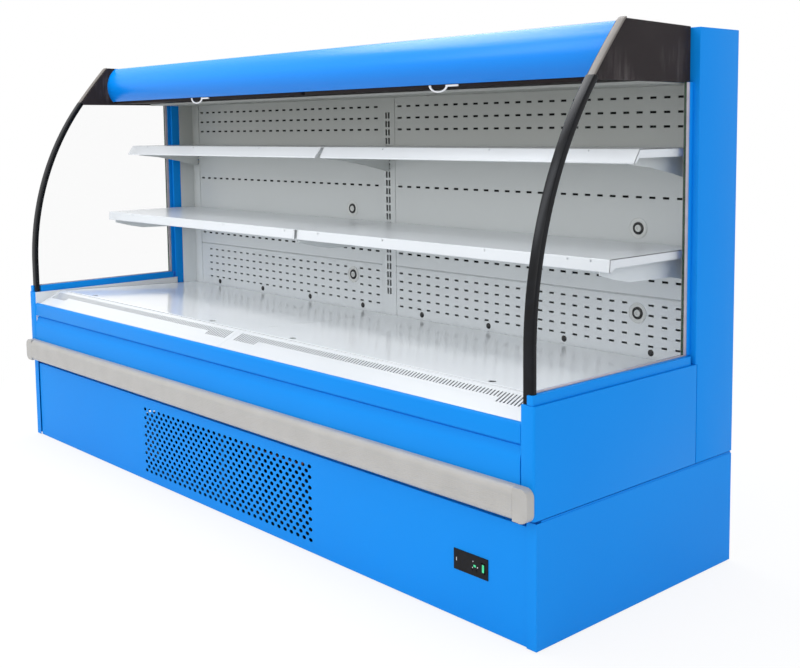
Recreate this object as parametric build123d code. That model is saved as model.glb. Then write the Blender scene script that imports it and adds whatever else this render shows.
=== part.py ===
from build123d import *
import os
from math import asin, cos, hypot, radians, sin, sqrt

# Open multideck display fridge: two bays of shelves between curved side glasses.
# X runs along the length, centred. Depths are measured back from the front faces of the
# end panels and heights up from the floor. All sizes are millimetres.

# ---- driving sizes: carcass ----
LENGTH = 2580.0
DEPTH = 806.0
BUMPER_REACH = 24.0
WALL = 42.0
FIT = 0.5
SHEET = 1.5
FOAM_WALL = 40.0

# ---- heights, from the floor up ----
BASE_BOTTOM = 4.0
BASE_TOP = 300.0
BODY_BOTTOM = 306.0
END_PANEL_TOP = 567.0
SILL_TOP = 590.0
CEILING_HEIGHT = 1285.0
ROOF_TOP = CEILING_HEIGHT + 139
CANOPY_TOP = ROOF_TOP + 6
GLASS_TOP = CANOPY_TOP + 6

# ---- base ----
BASE_SETBACK = 8.0
POST_WIDTH = 29.5
PANEL_RECESS = 4.0
PANEL_RETURN = 14.0
PANEL_TOP_GAP = 10.0
FOOT_INSET = 28.0
FRAME_TUBE = 36.0
FRAME_BOTTOM = 14.0
FOOT_RADIUS = 22.0
FOOT_PAD = 8.0
GRILLE_SLATS = 9
CONTROL_WIDTH = 108.0
CONTROL_HEIGHT = 47.0
CONTROL_X = 1083.0
CONTROL_Z = 149.5
SWITCH_WIDTH = 13.0
SWITCH_HEIGHT = 26.0
SWITCH_MARGIN = 14.0
SWITCH_PIN = 1.5
SWITCH_PIN_REACH = 1.5
SWITCH_PIN_DEPTH = 3.0
KEY_RADIUS = 3.0
KEY_DEPTH = 4.0
KEY_GAP = 0.2
KEY_DROP = 12.0
KEY_OFFSETS = (4.0, 18.0)

# ---- tank, evaporator and machine bay ----
TANK_FRONT = 14.0
TANK_WALL = 30.0
TANK_RIM = 512.0
BACK_WALL_THICK = 40.0
BACK_WALL_FRONT = DEPTH - BACK_WALL_THICK - 2
COIL_FRONT = 345.0
COIL_DEPTH = 270.0
COIL_HEIGHT = 150.0
COIL_LENGTH = 2160.0
COIL_FINS = 7
COIL_TUBE_ROWS = 2
FIN_THICK = 3.0
FAN_PLATE_Y = 300.0
FAN_RADIUS = 72.0
FAN_BLADES = 5
FAN_DUCT_GAP = 4.0
EVAPORATOR_FAN_X = 560.0
CONDENSER_X = -250.0
CONDENSER_WIDTH = 420.0
CONDENSER_HEIGHT = 190.0
CONDENSER_DEPTH = 90.0
CONDENSER_FRONT = 70.0
CONDENSER_FINS = 8
COMPRESSOR_X = 330.0
COMPRESSOR_Y = 420.0
COMPRESSOR_RADIUS = 85.0
COMPRESSOR_HEIGHT = 200.0
PIPE_RADIUS = 6.0
TRAY_WIDTH = 320.0
TRAY_LENGTH = 300.0
TRAY_HEIGHT = 60.0
TRAY_WALL = 3.0
SHROUD_DEPTH = 30.0
HUB_RISE = 18.0

# ---- end panels, sills and side glass ----
END_PANEL_DEPTH = DEPTH - 171
COLUMN_FRONT = END_PANEL_DEPTH - 20
GLASS_SETBACK = 25.0
GLASS_THICK = 6.0
SILL_WIDTH = 30.0
SILL_FRONT = 27.0
SILL_NOSE = 2.0
SILL_NOSE_WIDTH = 14.0
TUBE_OUTER = 8.0
TUBE_DEPTH = 18.0
EDGE_FRONT = 8.0
EDGE_BEND_HEIGHT = 677.0
EDGE_BIG_RADIUS = 1000.0
EDGE_TOP_RADIUS = 140.0
PANE_INSET = 10.0
TRIM_START_HEIGHT = CEILING_HEIGHT + 12

# ---- fascia and bumper ----
RAIL_TOP = 524.0
RAIL_BOTTOM = 477.0
RAIL_FRONT = 2.0
RAIL_NOSE = 6.0
GROOVE = 7.0
BUMPER_TOP = 383.0
BUMPER_BOTTOM = 304.0
BUMPER_CAP = 45.0
BUMPER_EDGE = 15.0
BUMPER_GROOVES = 7
BUMPER_GROOVE_PITCH = 5.4
BUMPER_GROOVE_DEPTH = 1.6

# ---- return grille and deck ----
RETURN_FRONT_HEIGHT = 520.5
RETURN_BACK = 108.0
DECK_FRONT = 110.0
DECK_FRONT_HEIGHT = 562.0
DECK_BACK_HEIGHT = 538.0
DECK_LIP = 3.0
DECK_FLANGE = 20.0
RAIL_WIDTH = 34.0
FINGER_HOLE_RADIUS = 11.0
FINGER_HOLE_SETBACK = 34.0

# ---- slotted back lining ----
PANEL_FACE = BACK_WALL_FRONT - 37.4
PANEL_SPLIT = 712.0
SLOT_LENGTH = 18.0
SLOT_HEIGHT = 6.0
SLOT_PITCH = 44.4
SLOT_FIRST = 61.0
TOP_ROW_DROPS = (30.0, 69.0, 108.0)
MIDDLE_ROWS = (984.0, 755.0)
UPRIGHT_WIDTH = 73.0
UPRIGHT_PROUD = 2.0
CORNER_WIDTH = 51.0
CORNER_RETURN = 65.0
CATCH_SLOT_HEIGHT = 20.0
CATCH_SLOT_WIDTH = 5.0
CATCH_PITCH = 28.8
CATCH_FIRST = 620.0
CATCH_OFFSET = 6.7
CORNER_CATCH = 12.0
PORT_RADIUS = 27.5
PORT_BORE = 11.0
PORT_PROUD = 4.0
PORT_HEIGHTS = (898.0, 661.0)
LEFT_PORT = 3
RIGHT_PORT = 22
PLUG_RADIUS = 9.5
PLUG_PROUD = 3.0
PLUG_HEIGHT = 554.6
PLUG_PITCH = 306.9
PLUG_COUNT = 8
PLUG_SHIFT = 8.8

# ---- shelves ----
SHELF_BACK = PANEL_FACE - 11.6
SHELF_END_GAP = 3.0
SHELF_FLANGE = 22.0
UPPER_SHELF_HEIGHT = 1123.0
UPPER_SHELF_FRONT = 442.0
UPPER_LIP_REACH = 25.0
UPPER_LIP_DROP = 36.0
LOWER_SHELF_HEIGHT = 861.0
LOWER_SHELF_FRONT = 327.0
LOWER_LIP_REACH = 3.0
LOWER_LIP_DROP = 32.0
BRACKET_THICK = 2.0
HOOK_LENGTH = 6.0
HOOK_DROP = 30.0
UPPER_BRACKET_NOSE = ((7.0, 39.0), (91.0, 48.0), (188.0, 66.0))
UPPER_BRACKET_DROP = 88.0
LOWER_BRACKET_NOSE = ((6.0, 42.0), (66.0, 58.0), (127.0, 70.0), (305.0, 75.0))
LOWER_BRACKET_DROP = 92.0

# ---- canopy and night blinds ----
CANOPY_FOOT = 362.0
CANOPY_FOOT_HEIGHT = CEILING_HEIGHT + 15
CANOPY_BACK = 392.0
CANOPY_CREST = 376.0
CANOPY_LIP = 3.0
CANOPY_BULGE = 22.0
CANOPY_BULGE_RISE = 55.0
CANOPY_SHEET = 2.5
HOUSING_BACK = 531.0
ROOF_FRONT = 400.0
ARM_BOTTOM = CEILING_HEIGHT + 2
ROLLER_Y = 440.0
ROLLER_Z = CEILING_HEIGHT + 60
ROLL_RADIUS = 26.0
PIN_RADIUS = 5.0
PIN_CLEARANCE = 0.05
ROLLER_END_GAP = 12.0
BLIND_BRACKET_THICK = 8.0
BAR_SEAT = 0.4
BAR_WIDTH = 16.0
BAR_HEIGHT = 12.0
BAR_BOTTOM = CANOPY_FOOT_HEIGHT - 10
BAR_END_GAP = 8.0
HANDLE_WIDTH = 82.0
HANDLE_DROP = 22.0
HANDLE_ROD = 4.0
HANDLE_STRIP = 50.0

# ---- worked out from the sizes above ----
Y_MIDDLE = (DEPTH - BUMPER_REACH) / 2
HALF = LENGTH / 2
INNER = HALF - WALL
LINER = INNER - SHEET
TUBE_WIDTH = WALL - TUBE_OUTER
BAY_MIDDLE = INNER / 2
GLASS_X = HALF - GLASS_SETBACK
BIG_CENTRE = (EDGE_FRONT + EDGE_BIG_RADIUS, EDGE_BEND_HEIGHT)
TOP_RISE = GLASS_TOP - EDGE_TOP_RADIUS - EDGE_BEND_HEIGHT
CENTRES_APART = EDGE_BIG_RADIUS - EDGE_TOP_RADIUS
TOP_CENTRE = (BIG_CENTRE[0] - sqrt(CENTRES_APART**2 - TOP_RISE**2), EDGE_BEND_HEIGHT + TOP_RISE)
UPRIGHT_FACE = PANEL_FACE - UPRIGHT_PROUD
BAR_FRONT = CANOPY_FOOT + CANOPY_LIP + BAR_SEAT
DECK_BACK = PANEL_FACE - max(PLUG_PROUD, PORT_PROUD) - FIT
DECK_SLOPE = (DECK_FRONT_HEIGHT - DECK_BACK_HEIGHT) / (PANEL_FACE - DECK_FRONT)
TANK_FLOOR = BUMPER_BOTTOM + FOAM_WALL
CORNER_INNER = LINER - CORNER_WIDTH
BRACKET_X = CORNER_INNER + CORNER_CATCH
CATCH_COUNT = int((CEILING_HEIGHT - CATCH_FIRST - CATCH_SLOT_HEIGHT) / CATCH_PITCH)
UPPER_ROWS = [CEILING_HEIGHT - drop for drop in TOP_ROW_DROPS] + list(MIDDLE_ROWS)
TRIM_ANGLE = asin((TRIM_START_HEIGHT - EDGE_BEND_HEIGHT) / EDGE_BIG_RADIUS)
MEET_ANGLE = asin(TOP_RISE / CENTRES_APART)
CONTROL_FACE = BASE_SETBACK + PANEL_RECESS - 2
SWITCH_X = CONTROL_X + CONTROL_WIDTH / 2 - SWITCH_MARGIN
KEY_Z = CONTROL_Z - KEY_DROP
KEY_PLACES = [CONTROL_X + offset for offset in KEY_OFFSETS]
FRAME_FRONT = BASE_SETBACK + PANEL_RECESS + PANEL_RETURN
FRAME_BACK = DEPTH - 2 * SHEET
FRAME_SIDE = HALF - SHEET
MACHINE_FLOOR = FRAME_BOTTOM + FRAME_TUBE + 1
CONDENSER_HUB_Z = MACHINE_FLOOR + CONDENSER_HEIGHT / 2
CONDENSER_HUB_Y = CONDENSER_FRONT + CONDENSER_DEPTH
EVAPORATOR_HUB_Z = TANK_FLOOR + FAN_RADIUS + HUB_RISE


# ---- shared shapes ----
def block(x0, x1, y0, y1, z0, z1):
    """A box between two opposite corners."""
    return Pos((x0 + x1) / 2, (y0 + y1) / 2, (z0 + z1) / 2) * Box(x1 - x0, y1 - y0, z1 - z0)


def outline(points):
    """A flat face inside straight edges."""
    return make_face(Polyline(*points, close=True))


def along_x(face, x0, x1):
    """A (depth, height) section drawn out along the length."""
    return extrude(Plane.YZ.offset(x0) * face, amount=x1 - x0, dir=(1, 0, 0))


def along_z(face, z0, z1):
    """A plan section drawn upwards."""
    return extrude(Plane.XY.offset(z0) * face, amount=z1 - z0, dir=(0, 0, 1))


def folded(path, thickness):
    """The section of a sheet folded along a path, thick on the path's left side."""
    normals = []
    for (u0, v0), (u1, v1) in zip(path, path[1:]):
        reach = hypot(u1 - u0, v1 - v0)
        normals.append(((v0 - v1) / reach, (u1 - u0) / reach))
    ends = [normals[0]] + normals + [normals[-1]]
    inner = []
    for (u, v), (a0, b0), (a1, b1) in zip(path, ends, ends[1:]):
        share = thickness / (1 + a0 * a1 + b0 * b1)
        inner.append((u + share * (a0 + a1), v + share * (b0 + b1)))
    return outline(list(path) + inner[::-1])


def cylinder_x(radius, x0, x1, y, z):
    """A round bar along the length."""
    return Pos((x0 + x1) / 2, y, z) * Rot(0, 90, 0) * Cylinder(radius, x1 - x0)


def cylinder_y(radius, x, y0, y1, z):
    """A round bar from front to back."""
    return Pos(x, (y0 + y1) / 2, z) * Rot(90, 0, 0) * Cylinder(radius, y1 - y0)


def sided_x(radius, sides, x0, x1, y, z, tips=True):
    """A many-sided bar along the length, measured to its corners or else to its flats."""
    return along_x(Pos(y, z) * RegularPolygon(radius, sides, major_radius=tips), x0, x1)


def sided_y(radius, sides, x, y0, y1, z, tips=True):
    """A many-sided bar from front to back, measured to its corners or else to its flats."""
    face = RegularPolygon(radius, sides, major_radius=tips)
    return Pos(x, y1, z) * Rot(90, 0, 0) * along_z(face, 0, y1 - y0)


def mirrored(shape):
    """The same piece on the other side of the middle."""
    return mirror(shape, about=Plane.YZ)


def pair(shape):
    """A piece and its mirror image, as two solids."""
    return Compound(children=[shape, mirrored(shape)])


def group(shapes):
    """Separate solids that share one name."""
    return Compound(children=list(shapes))


def save(name, shape):
    """Writes one piece, moved so that the origin is under the middle of the object."""
    placed = [solid.moved(Location((0, -Y_MIDDLE, 0))) for solid in shape.solids()]
    export_step(placed[0] if len(placed) == 1 else Compound(children=placed), f"parts/{name}.step")


# ---- base ----
def base_frame():
    """Welded ring of square tube with posts that carry the body and a pan for the machine pieces."""
    front = FRAME_FRONT
    back = FRAME_BACK
    side = FRAME_SIDE
    top = BUMPER_BOTTOM
    frame = block(-side, side, front, front + FRAME_TUBE, FRAME_BOTTOM, FRAME_BOTTOM + FRAME_TUBE)
    frame += block(-side, side, back - FRAME_TUBE, back, FRAME_BOTTOM, FRAME_BOTTOM + FRAME_TUBE)
    for x in (-side, -FRAME_TUBE / 2, side - FRAME_TUBE):
        frame += block(x, x + FRAME_TUBE, front, back, FRAME_BOTTOM, FRAME_BOTTOM + FRAME_TUBE)
        for y in (front, back - FRAME_TUBE):
            frame += block(x, x + FRAME_TUBE, y, y + FRAME_TUBE, FRAME_BOTTOM, top)
    for x in (-side, side - FRAME_TUBE):
        frame += block(x, x + FRAME_TUBE, front, back, top - FRAME_TUBE, top)
    pan_half = CONDENSER_WIDTH / 2
    return frame + block(CONDENSER_X - pan_half - 40, COMPRESSOR_X + pan_half, front, back,
                         MACHINE_FLOOR - 1, MACHINE_FLOOR)


def levelling_feet():
    """Six screw feet under the tube ring."""
    foot = along_z(RegularPolygon(FOOT_RADIUS, 10), 0, FOOT_PAD)
    foot += along_z(RegularPolygon(FOOT_RADIUS * 0.45, 6), FOOT_PAD, FRAME_BOTTOM)
    side = FRAME_SIDE - FOOT_INSET
    places = [(x, y) for x in (-side, 0, side) for y in (FRAME_FRONT + FOOT_INSET, FRAME_BACK - FOOT_INSET)]
    return group(Pos(x, y, 0) * foot for x, y in places)


def base_front_panel():
    """Plain front sheet with turned-in edges and the cut-out for the controller."""
    face = BASE_SETBACK + PANEL_RECESS
    low = BASE_BOTTOM
    high = BASE_TOP - PANEL_TOP_GAP
    path = [(FRAME_FRONT, low), (face, low), (face, high), (FRAME_FRONT, high)]
    panel = along_x(folded(path[::-1], SHEET), POST_WIDTH - HALF, HALF - POST_WIDTH)
    half_width = CONTROL_WIDTH / 2
    half_height = CONTROL_HEIGHT / 2
    return panel - block(CONTROL_X - half_width, CONTROL_X + half_width, face - 1, face + 2,
                         CONTROL_Z - half_height, CONTROL_Z + half_height)


def base_side_panel():
    """Side sheet that turns round the front corner as a post."""
    plan = [(HALF - POST_WIDTH, BASE_SETBACK), (HALF, BASE_SETBACK), (HALF, DEPTH - SHEET)]
    return along_z(folded(plan, SHEET), BASE_BOTTOM, BASE_TOP)


def base_rear_grille():
    """Rear closing sheet with long pressed louvres over the machine bay."""
    back = DEPTH - SHEET
    sheet = block(-HALF + SHEET, HALF - SHEET, back - SHEET, back, FRAME_BOTTOM, BASE_TOP)
    pitch = (BASE_TOP - FRAME_BOTTOM) / (GRILLE_SLATS + 2)
    for i in range(GRILLE_SLATS):
        z = FRAME_BOTTOM + pitch * (i + 1.5)
        sheet -= block(CONDENSER_X - CONDENSER_WIDTH, COMPRESSOR_X + CONDENSER_WIDTH / 2,
                       back - SHEET - 1, back + 1, z - pitch * 0.2, z + pitch * 0.2)
    return sheet


# ---- machine bay ----
def compressor():
    """Welded compressor pot on a foot plate."""
    floor = MACHINE_FLOOR
    shoulder = COMPRESSOR_RADIUS * 0.35
    crown = floor + COMPRESSOR_HEIGHT
    rings = [(floor + 12, COMPRESSOR_RADIUS - shoulder), (floor + 12 + shoulder, COMPRESSOR_RADIUS),
             (crown - shoulder, COMPRESSOR_RADIUS), (crown, COMPRESSOR_RADIUS - shoulder)]
    centre = Pos(COMPRESSOR_X, COMPRESSOR_Y, 0)
    pot = loft([centre * Pos(0, 0, z) * RegularPolygon(radius, 16) for z, radius in rings], ruled=True)
    reach = COMPRESSOR_RADIUS + 15
    plate = block(COMPRESSOR_X - reach, COMPRESSOR_X + reach, COMPRESSOR_Y - reach, COMPRESSOR_Y + reach,
                  floor, floor + 12)
    return pot + plate


def fin_block(x0, x1, y0, y1, z0, z1, fins, tube_rows):
    """Coil of upright fins threaded on flat level tubes."""
    pitch = (x1 - x0 - FIN_THICK) / (fins - 1)
    coil = []
    for i in range(fins):
        coil.append(block(x0 + pitch * i, x0 + pitch * i + FIN_THICK, y0, y1, z0, z1))
    for i in range(tube_rows):
        z = z0 + (z1 - z0) * (i + 0.5) / tube_rows
        coil.append(block(x0, x1, y0 + FIN_THICK * 3, y1 - FIN_THICK * 3, z - FIN_THICK, z + FIN_THICK))
    return Part() + coil


def condenser_coil():
    """Air-cooled coil behind the perforated front."""
    low = MACHINE_FLOOR
    return fin_block(CONDENSER_X - CONDENSER_WIDTH / 2, CONDENSER_X + CONDENSER_WIDTH / 2, CONDENSER_FRONT,
                     CONDENSER_FRONT + CONDENSER_DEPTH, low, low + CONDENSER_HEIGHT, CONDENSER_FINS, 2)


def ring_plate(x0, x1, y0, y1, z0, z1, hubs, radius, spider_z):
    """Plate with round fan openings and a motor bar across each one."""
    plate = block(x0, x1, y0, y1, z0, z1)
    for x, z in hubs:
        plate -= sided_y(radius, 20, x, y0 - 1, y1 + 1, z)
        plate += block(x - radius - 1, x + radius + 1, y0, y0 + SHEET, z - spider_z, z + spider_z)
        plate -= sided_y(PIN_RADIUS + PIN_CLEARANCE, 12, x, y0 - 1, y0 + SHEET + 1, z, tips=False)
    return plate


def condenser_fan_shroud():
    """Plate with the fan opening, close behind the condenser."""
    low = MACHINE_FLOOR
    hub = [(CONDENSER_X, CONDENSER_HUB_Z)]
    return ring_plate(CONDENSER_X - CONDENSER_WIDTH / 2, CONDENSER_X + CONDENSER_WIDTH / 2, CONDENSER_HUB_Y,
                      CONDENSER_HUB_Y + SHROUD_DEPTH, low, low + CONDENSER_HEIGHT, hub,
                      FAN_RADIUS + FAN_DUCT_GAP, 14)


def fan(x, y, z):
    """Axial fan: hub, shaft and pitched blades, turning about the front-to-back line."""
    hub_radius = FAN_RADIUS * 0.28
    rotor = sided_y(hub_radius, 12, x, y + SHEET + 3, y + SHEET + 19, z)
    rotor += cylinder_y(PIN_RADIUS, x, y + FIT, y + SHEET + 4, z)
    length = FAN_RADIUS - hub_radius + 4
    for i in range(FAN_BLADES):
        blade = Pos(hub_radius - 3 + length / 2, 0, 0) * Rot(32, 0, 0) * Box(length, 1.6, FAN_RADIUS * 0.42)
        rotor += Pos(x, y + SHEET + 11, z) * Rot(0, 360 / FAN_BLADES * i, 0) * blade
    return rotor


def refrigerant_pipes():
    """Liquid and suction lines from the machine bay up into the tank."""
    top = TANK_FLOOR - FOAM_WALL
    low = MACHINE_FLOOR + CONDENSER_HEIGHT * 0.8
    start = (CONDENSER_X + CONDENSER_WIDTH / 2, CONDENSER_FRONT + CONDENSER_DEPTH * 0.25, low)
    corner = (COMPRESSOR_X, start[1], low)
    rise = (COMPRESSOR_X, start[1], top)
    liquid = sweep(Plane(origin=start, z_dir=(1, 0, 0)) * RegularPolygon(PIPE_RADIUS, 8),
                   path=FilletPolyline(start, corner, rise, radius=PIPE_RADIUS * 4))
    pot_top = MACHINE_FLOOR + COMPRESSOR_HEIGHT
    suction = along_z(Pos(COMPRESSOR_X, COMPRESSOR_Y) * RegularPolygon(PIPE_RADIUS * 1.4, 8), pot_top, top)
    return group([liquid, suction])


def condensate_tray():
    """Open pan that catches the defrost water, beside the compressor."""
    low = MACHINE_FLOOR
    x0 = CONDENSER_X - CONDENSER_WIDTH / 2
    y0 = COMPRESSOR_Y - 60
    pan = block(x0, x0 + TRAY_WIDTH, y0, y0 + TRAY_LENGTH, low, low + TRAY_HEIGHT)
    return pan - block(x0 + TRAY_WALL, x0 + TRAY_WIDTH - TRAY_WALL, y0 + TRAY_WALL, y0 + TRAY_LENGTH - TRAY_WALL,
                       low + TRAY_WALL, low + TRAY_HEIGHT + 1)


# ---- insulated body ----
def insulated_tank():
    """Foamed floor and front wall under the deck."""
    rim = TANK_FRONT + TANK_WALL
    section = [(TANK_FRONT, BUMPER_BOTTOM), (BACK_WALL_FRONT, BUMPER_BOTTOM), (BACK_WALL_FRONT, TANK_FLOOR),
               (rim, TANK_FLOOR), (rim, TANK_RIM), (TANK_FRONT, TANK_RIM)]
    return along_x(outline(section), -INNER, INNER)


def insulated_back_wall():
    """Foamed rear wall behind the air duct."""
    return block(-INNER, INNER, BACK_WALL_FRONT, BACK_WALL_FRONT + BACK_WALL_THICK, BUMPER_BOTTOM, ROOF_TOP)


def evaporator_coil():
    """Long finned coil on the tank floor."""
    return fin_block(-COIL_LENGTH / 2, COIL_LENGTH / 2, COIL_FRONT, COIL_FRONT + COIL_DEPTH, TANK_FLOOR,
                     TANK_FLOOR + COIL_HEIGHT, COIL_FINS, COIL_TUBE_ROWS)


def evaporator_fan_plate():
    """Cross plate that seals the duct and holds the two circulation fans."""
    top = DECK_FRONT_HEIGHT - (FAN_PLATE_Y - DECK_FRONT) * DECK_SLOPE - DECK_FLANGE - SHEET
    hubs = [(x, EVAPORATOR_HUB_Z) for x in (-EVAPORATOR_FAN_X, EVAPORATOR_FAN_X)]
    return ring_plate(-INNER, INNER, FAN_PLATE_Y, FAN_PLATE_Y + SHEET * 2, TANK_FLOOR, top, hubs,
                      FAN_RADIUS + FAN_DUCT_GAP, 14)


def deck_rails():
    """Front and rear angle rails that the lift-out deck rests on."""
    rails = []
    for y0, y1, reach in ((DECK_FRONT + SHEET, DECK_FRONT + RAIL_WIDTH, INNER),
                          (DECK_BACK - RAIL_WIDTH, DECK_BACK - SHEET - FIT, LINER)):
        low = DECK_FRONT_HEIGHT - (y1 - DECK_FRONT) * DECK_SLOPE - DECK_FLANGE
        path = [(y0, low - 30), (y0, low), (y1, low)]
        rails.append(along_x(folded(path[::-1], SHEET), -reach, reach))
    return group(rails)


def return_grille():
    """Sloping air-return sheet of one bay, from the front rim up to the deck."""
    path = [(TANK_FRONT, TANK_RIM), (TANK_FRONT, RETURN_FRONT_HEIGHT),
            (RETURN_BACK, DECK_FRONT_HEIGHT), (RETURN_BACK, DECK_FRONT_HEIGHT - DECK_FLANGE * 1.4)]
    return along_x(folded(path[::-1], SHEET), FIT, INNER)


def deck_panel():
    """Lift-out deck of one bay: folded edges, raised front lip and two finger holes."""
    back_z = DECK_FRONT_HEIGHT - (DECK_BACK - DECK_FRONT) * DECK_SLOPE
    path = [(DECK_BACK, back_z - DECK_FLANGE), (DECK_BACK, back_z), (DECK_FRONT + 6, DECK_FRONT_HEIGHT),
            (DECK_FRONT + 5, DECK_FRONT_HEIGHT + DECK_LIP), (DECK_FRONT, DECK_FRONT_HEIGHT + DECK_LIP),
            (DECK_FRONT, DECK_FRONT_HEIGHT - DECK_FLANGE)]
    panel = along_x(folded(path, SHEET), FIT, LINER - SHEET - FIT)
    for x in (BAY_MIDDLE * 0.35, BAY_MIDDLE * 1.65):
        hole = Pos(x, DECK_FRONT + FINGER_HOLE_SETBACK) * RegularPolygon(FINGER_HOLE_RADIUS, 12)
        panel -= along_z(hole, DECK_FRONT_HEIGHT - DECK_LIP * 2, DECK_FRONT_HEIGHT + DECK_LIP)
    return panel


# ---- back lining ----
def slot_row(z, count, skipped):
    """Cutters for one row of air slots, counted outwards from the middle."""
    cutters = []
    for i in range(count):
        x = SLOT_FIRST + i * SLOT_PITCH
        if i not in skipped:
            cutters.append(Pos(x, PANEL_FACE + SHEET / 2, z) * Box(SLOT_LENGTH, SHEET * 3, SLOT_HEIGHT))
    return cutters


def back_panel(z0, z1, rows, port_z, port_skip, port_index):
    """Slotted sheet of one bay between the uprights, with its port hole."""
    panel = block(UPRIGHT_WIDTH / 2, CORNER_INNER, PANEL_FACE, PANEL_FACE + SHEET, z0, z1)
    count = int((CORNER_INNER - SLOT_LENGTH - SLOT_FIRST) / SLOT_PITCH) + 1
    cutters = []
    for z in rows:
        near_port = abs(z - port_z) < PORT_RADIUS + SLOT_HEIGHT
        cutters += slot_row(z, count, port_skip if near_port else ())
    panel = panel - cutters if cutters else panel
    x = SLOT_FIRST + port_index * SLOT_PITCH
    return panel - sided_y(PORT_BORE + 4, 8, x, PANEL_FACE - 1, PANEL_FACE + SHEET + 1, port_z)


def back_panels(z0, z1, rows, port_z):
    """The left and right panels; their ports sit at different slots."""
    right = back_panel(z0, z1, rows, port_z, (RIGHT_PORT,), RIGHT_PORT)
    left = mirrored(back_panel(z0, z1, rows, port_z, (LEFT_PORT,), LEFT_PORT))
    return group([left, right])


def upper_back_panels():
    """Panels from the crease up to the ceiling."""
    return back_panels(PANEL_SPLIT, CEILING_HEIGHT, UPPER_ROWS, PORT_HEIGHTS[0])


def lower_back_panels():
    """Plain panels from the tank up to the crease."""
    return back_panels(TANK_FLOOR, PANEL_SPLIT, (), PORT_HEIGHTS[1])


def panel_ports():
    """Round moulded sleeves through the back panels."""
    bore = RegularPolygon(PORT_BORE, 8)
    sleeve = along_z(RegularPolygon(PORT_RADIUS, 16) - bore, 0, PORT_PROUD)
    sleeve += along_z(RegularPolygon(PORT_BORE + 4 - FIT, 8) - bore, -SHEET * 2, 0)
    sleeve = Rot(90, 0, 0) * sleeve
    left = -SLOT_FIRST - LEFT_PORT * SLOT_PITCH
    right = SLOT_FIRST + RIGHT_PORT * SLOT_PITCH
    return group(Pos(x, PANEL_FACE, z) * sleeve for x in (left, right) for z in PORT_HEIGHTS)


def panel_plugs():
    """Blanking plugs along the foot of the back panels."""
    plug = Rot(90, 0, 0) * along_z(RegularPolygon(PLUG_RADIUS, 8), 0, PLUG_PROUD)
    first = PLUG_SHIFT - PLUG_PITCH * (PLUG_COUNT - 1) / 2
    return group(Pos(first + i * PLUG_PITCH, PANEL_FACE, PLUG_HEIGHT) * plug for i in range(PLUG_COUNT))


def hook_rows(height, drop):
    """The rows of catches that the brackets of one level hook into."""
    low = height - drop + 5
    return [row for row in range(CATCH_COUNT) if low < CATCH_FIRST + row * CATCH_PITCH < height - HOOK_DROP]


def catch_slots(x, rows):
    """Cutters for one column of shelf catches."""
    cutters = []
    for row in rows:
        z = CATCH_FIRST + row * CATCH_PITCH
        cutters.append(Pos(x, UPRIGHT_FACE, z) * Box(CATCH_SLOT_WIDTH, SHEET * 4, CATCH_SLOT_HEIGHT))
    return cutters


def shelf_uprights():
    """Slotted posts: a wide one in the middle and an angled one in each back corner."""
    half = UPRIGHT_WIDTH / 2
    plan = [(-half, BACK_WALL_FRONT), (-half, UPRIGHT_FACE), (half, UPRIGHT_FACE), (half, BACK_WALL_FRONT)]
    middle = along_z(folded(plan, SHEET), TANK_FLOOR, CEILING_HEIGHT)
    every = range(CATCH_COUNT)
    middle -= catch_slots(-CATCH_OFFSET, every) + catch_slots(CATCH_OFFSET, every)
    plan = [(CORNER_INNER, BACK_WALL_FRONT), (CORNER_INNER, UPRIGHT_FACE), (LINER, UPRIGHT_FACE),
            (LINER, PANEL_FACE - CORNER_RETURN)]
    corner = along_z(folded(plan, SHEET), TANK_FLOOR, CEILING_HEIGHT)
    hooked = hook_rows(UPPER_SHELF_HEIGHT, UPPER_BRACKET_DROP) + hook_rows(LOWER_SHELF_HEIGHT, LOWER_BRACKET_DROP)
    corner -= catch_slots(BRACKET_X, hooked)
    return group([mirrored(corner), middle, corner])


# ---- shelves ----
def shelf(height, front, lip_reach, lip_drop):
    """Folded shelf of one bay: lipped front, turned-down ends and back."""
    lip_foot = (front - lip_reach, height - lip_drop)
    path = [(SHELF_BACK, height - SHELF_FLANGE), (SHELF_BACK, height), (front, height), lip_foot,
            (lip_foot[0] + 8, lip_foot[1])]
    x1 = INNER - SHELF_END_GAP
    tray = along_x(folded(path, SHEET), FIT, x1)
    ends = outline([(SHELF_BACK, height - SHELF_FLANGE), (SHELF_BACK, height), (front, height),
                    (front - lip_reach * SHELF_FLANGE / lip_drop, height - SHELF_FLANGE)])
    tray += along_x(ends, FIT, FIT + SHEET)
    tray += along_x(ends, x1 - SHEET, x1)
    return tray


def upper_shelf():
    """Narrow shelf with the slanted lip."""
    return shelf(UPPER_SHELF_HEIGHT, UPPER_SHELF_FRONT, UPPER_LIP_REACH, UPPER_LIP_DROP)


def lower_shelf():
    """Deep shelf with the upright lip."""
    return shelf(LOWER_SHELF_HEIGHT, LOWER_SHELF_FRONT, LOWER_LIP_REACH, LOWER_LIP_DROP)


def bracket(x, height, nose, drop):
    """Plate bracket whose underside deepens towards the hooks at the back."""
    top = height - SHEET
    plate = outline([nose[0], (nose[0][0], top), (SHELF_BACK - SHEET, top),
                     (SHELF_BACK - SHEET, height - SHELF_FLANGE), (UPRIGHT_FACE, height - SHELF_FLANGE)]
                    + [(UPRIGHT_FACE, height - drop)] + nose[:0:-1])
    solid = along_x(plate, x - BRACKET_THICK / 2, x + BRACKET_THICK / 2)
    for row in hook_rows(height, drop):
        z = CATCH_FIRST + row * CATCH_PITCH
        solid += block(x - BRACKET_THICK / 2, x + BRACKET_THICK / 2, UPRIGHT_FACE - 2, UPRIGHT_FACE + HOOK_LENGTH,
                       z - CATCH_SLOT_HEIGHT * 0.4, z + CATCH_SLOT_HEIGHT * 0.2)
    return solid


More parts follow.
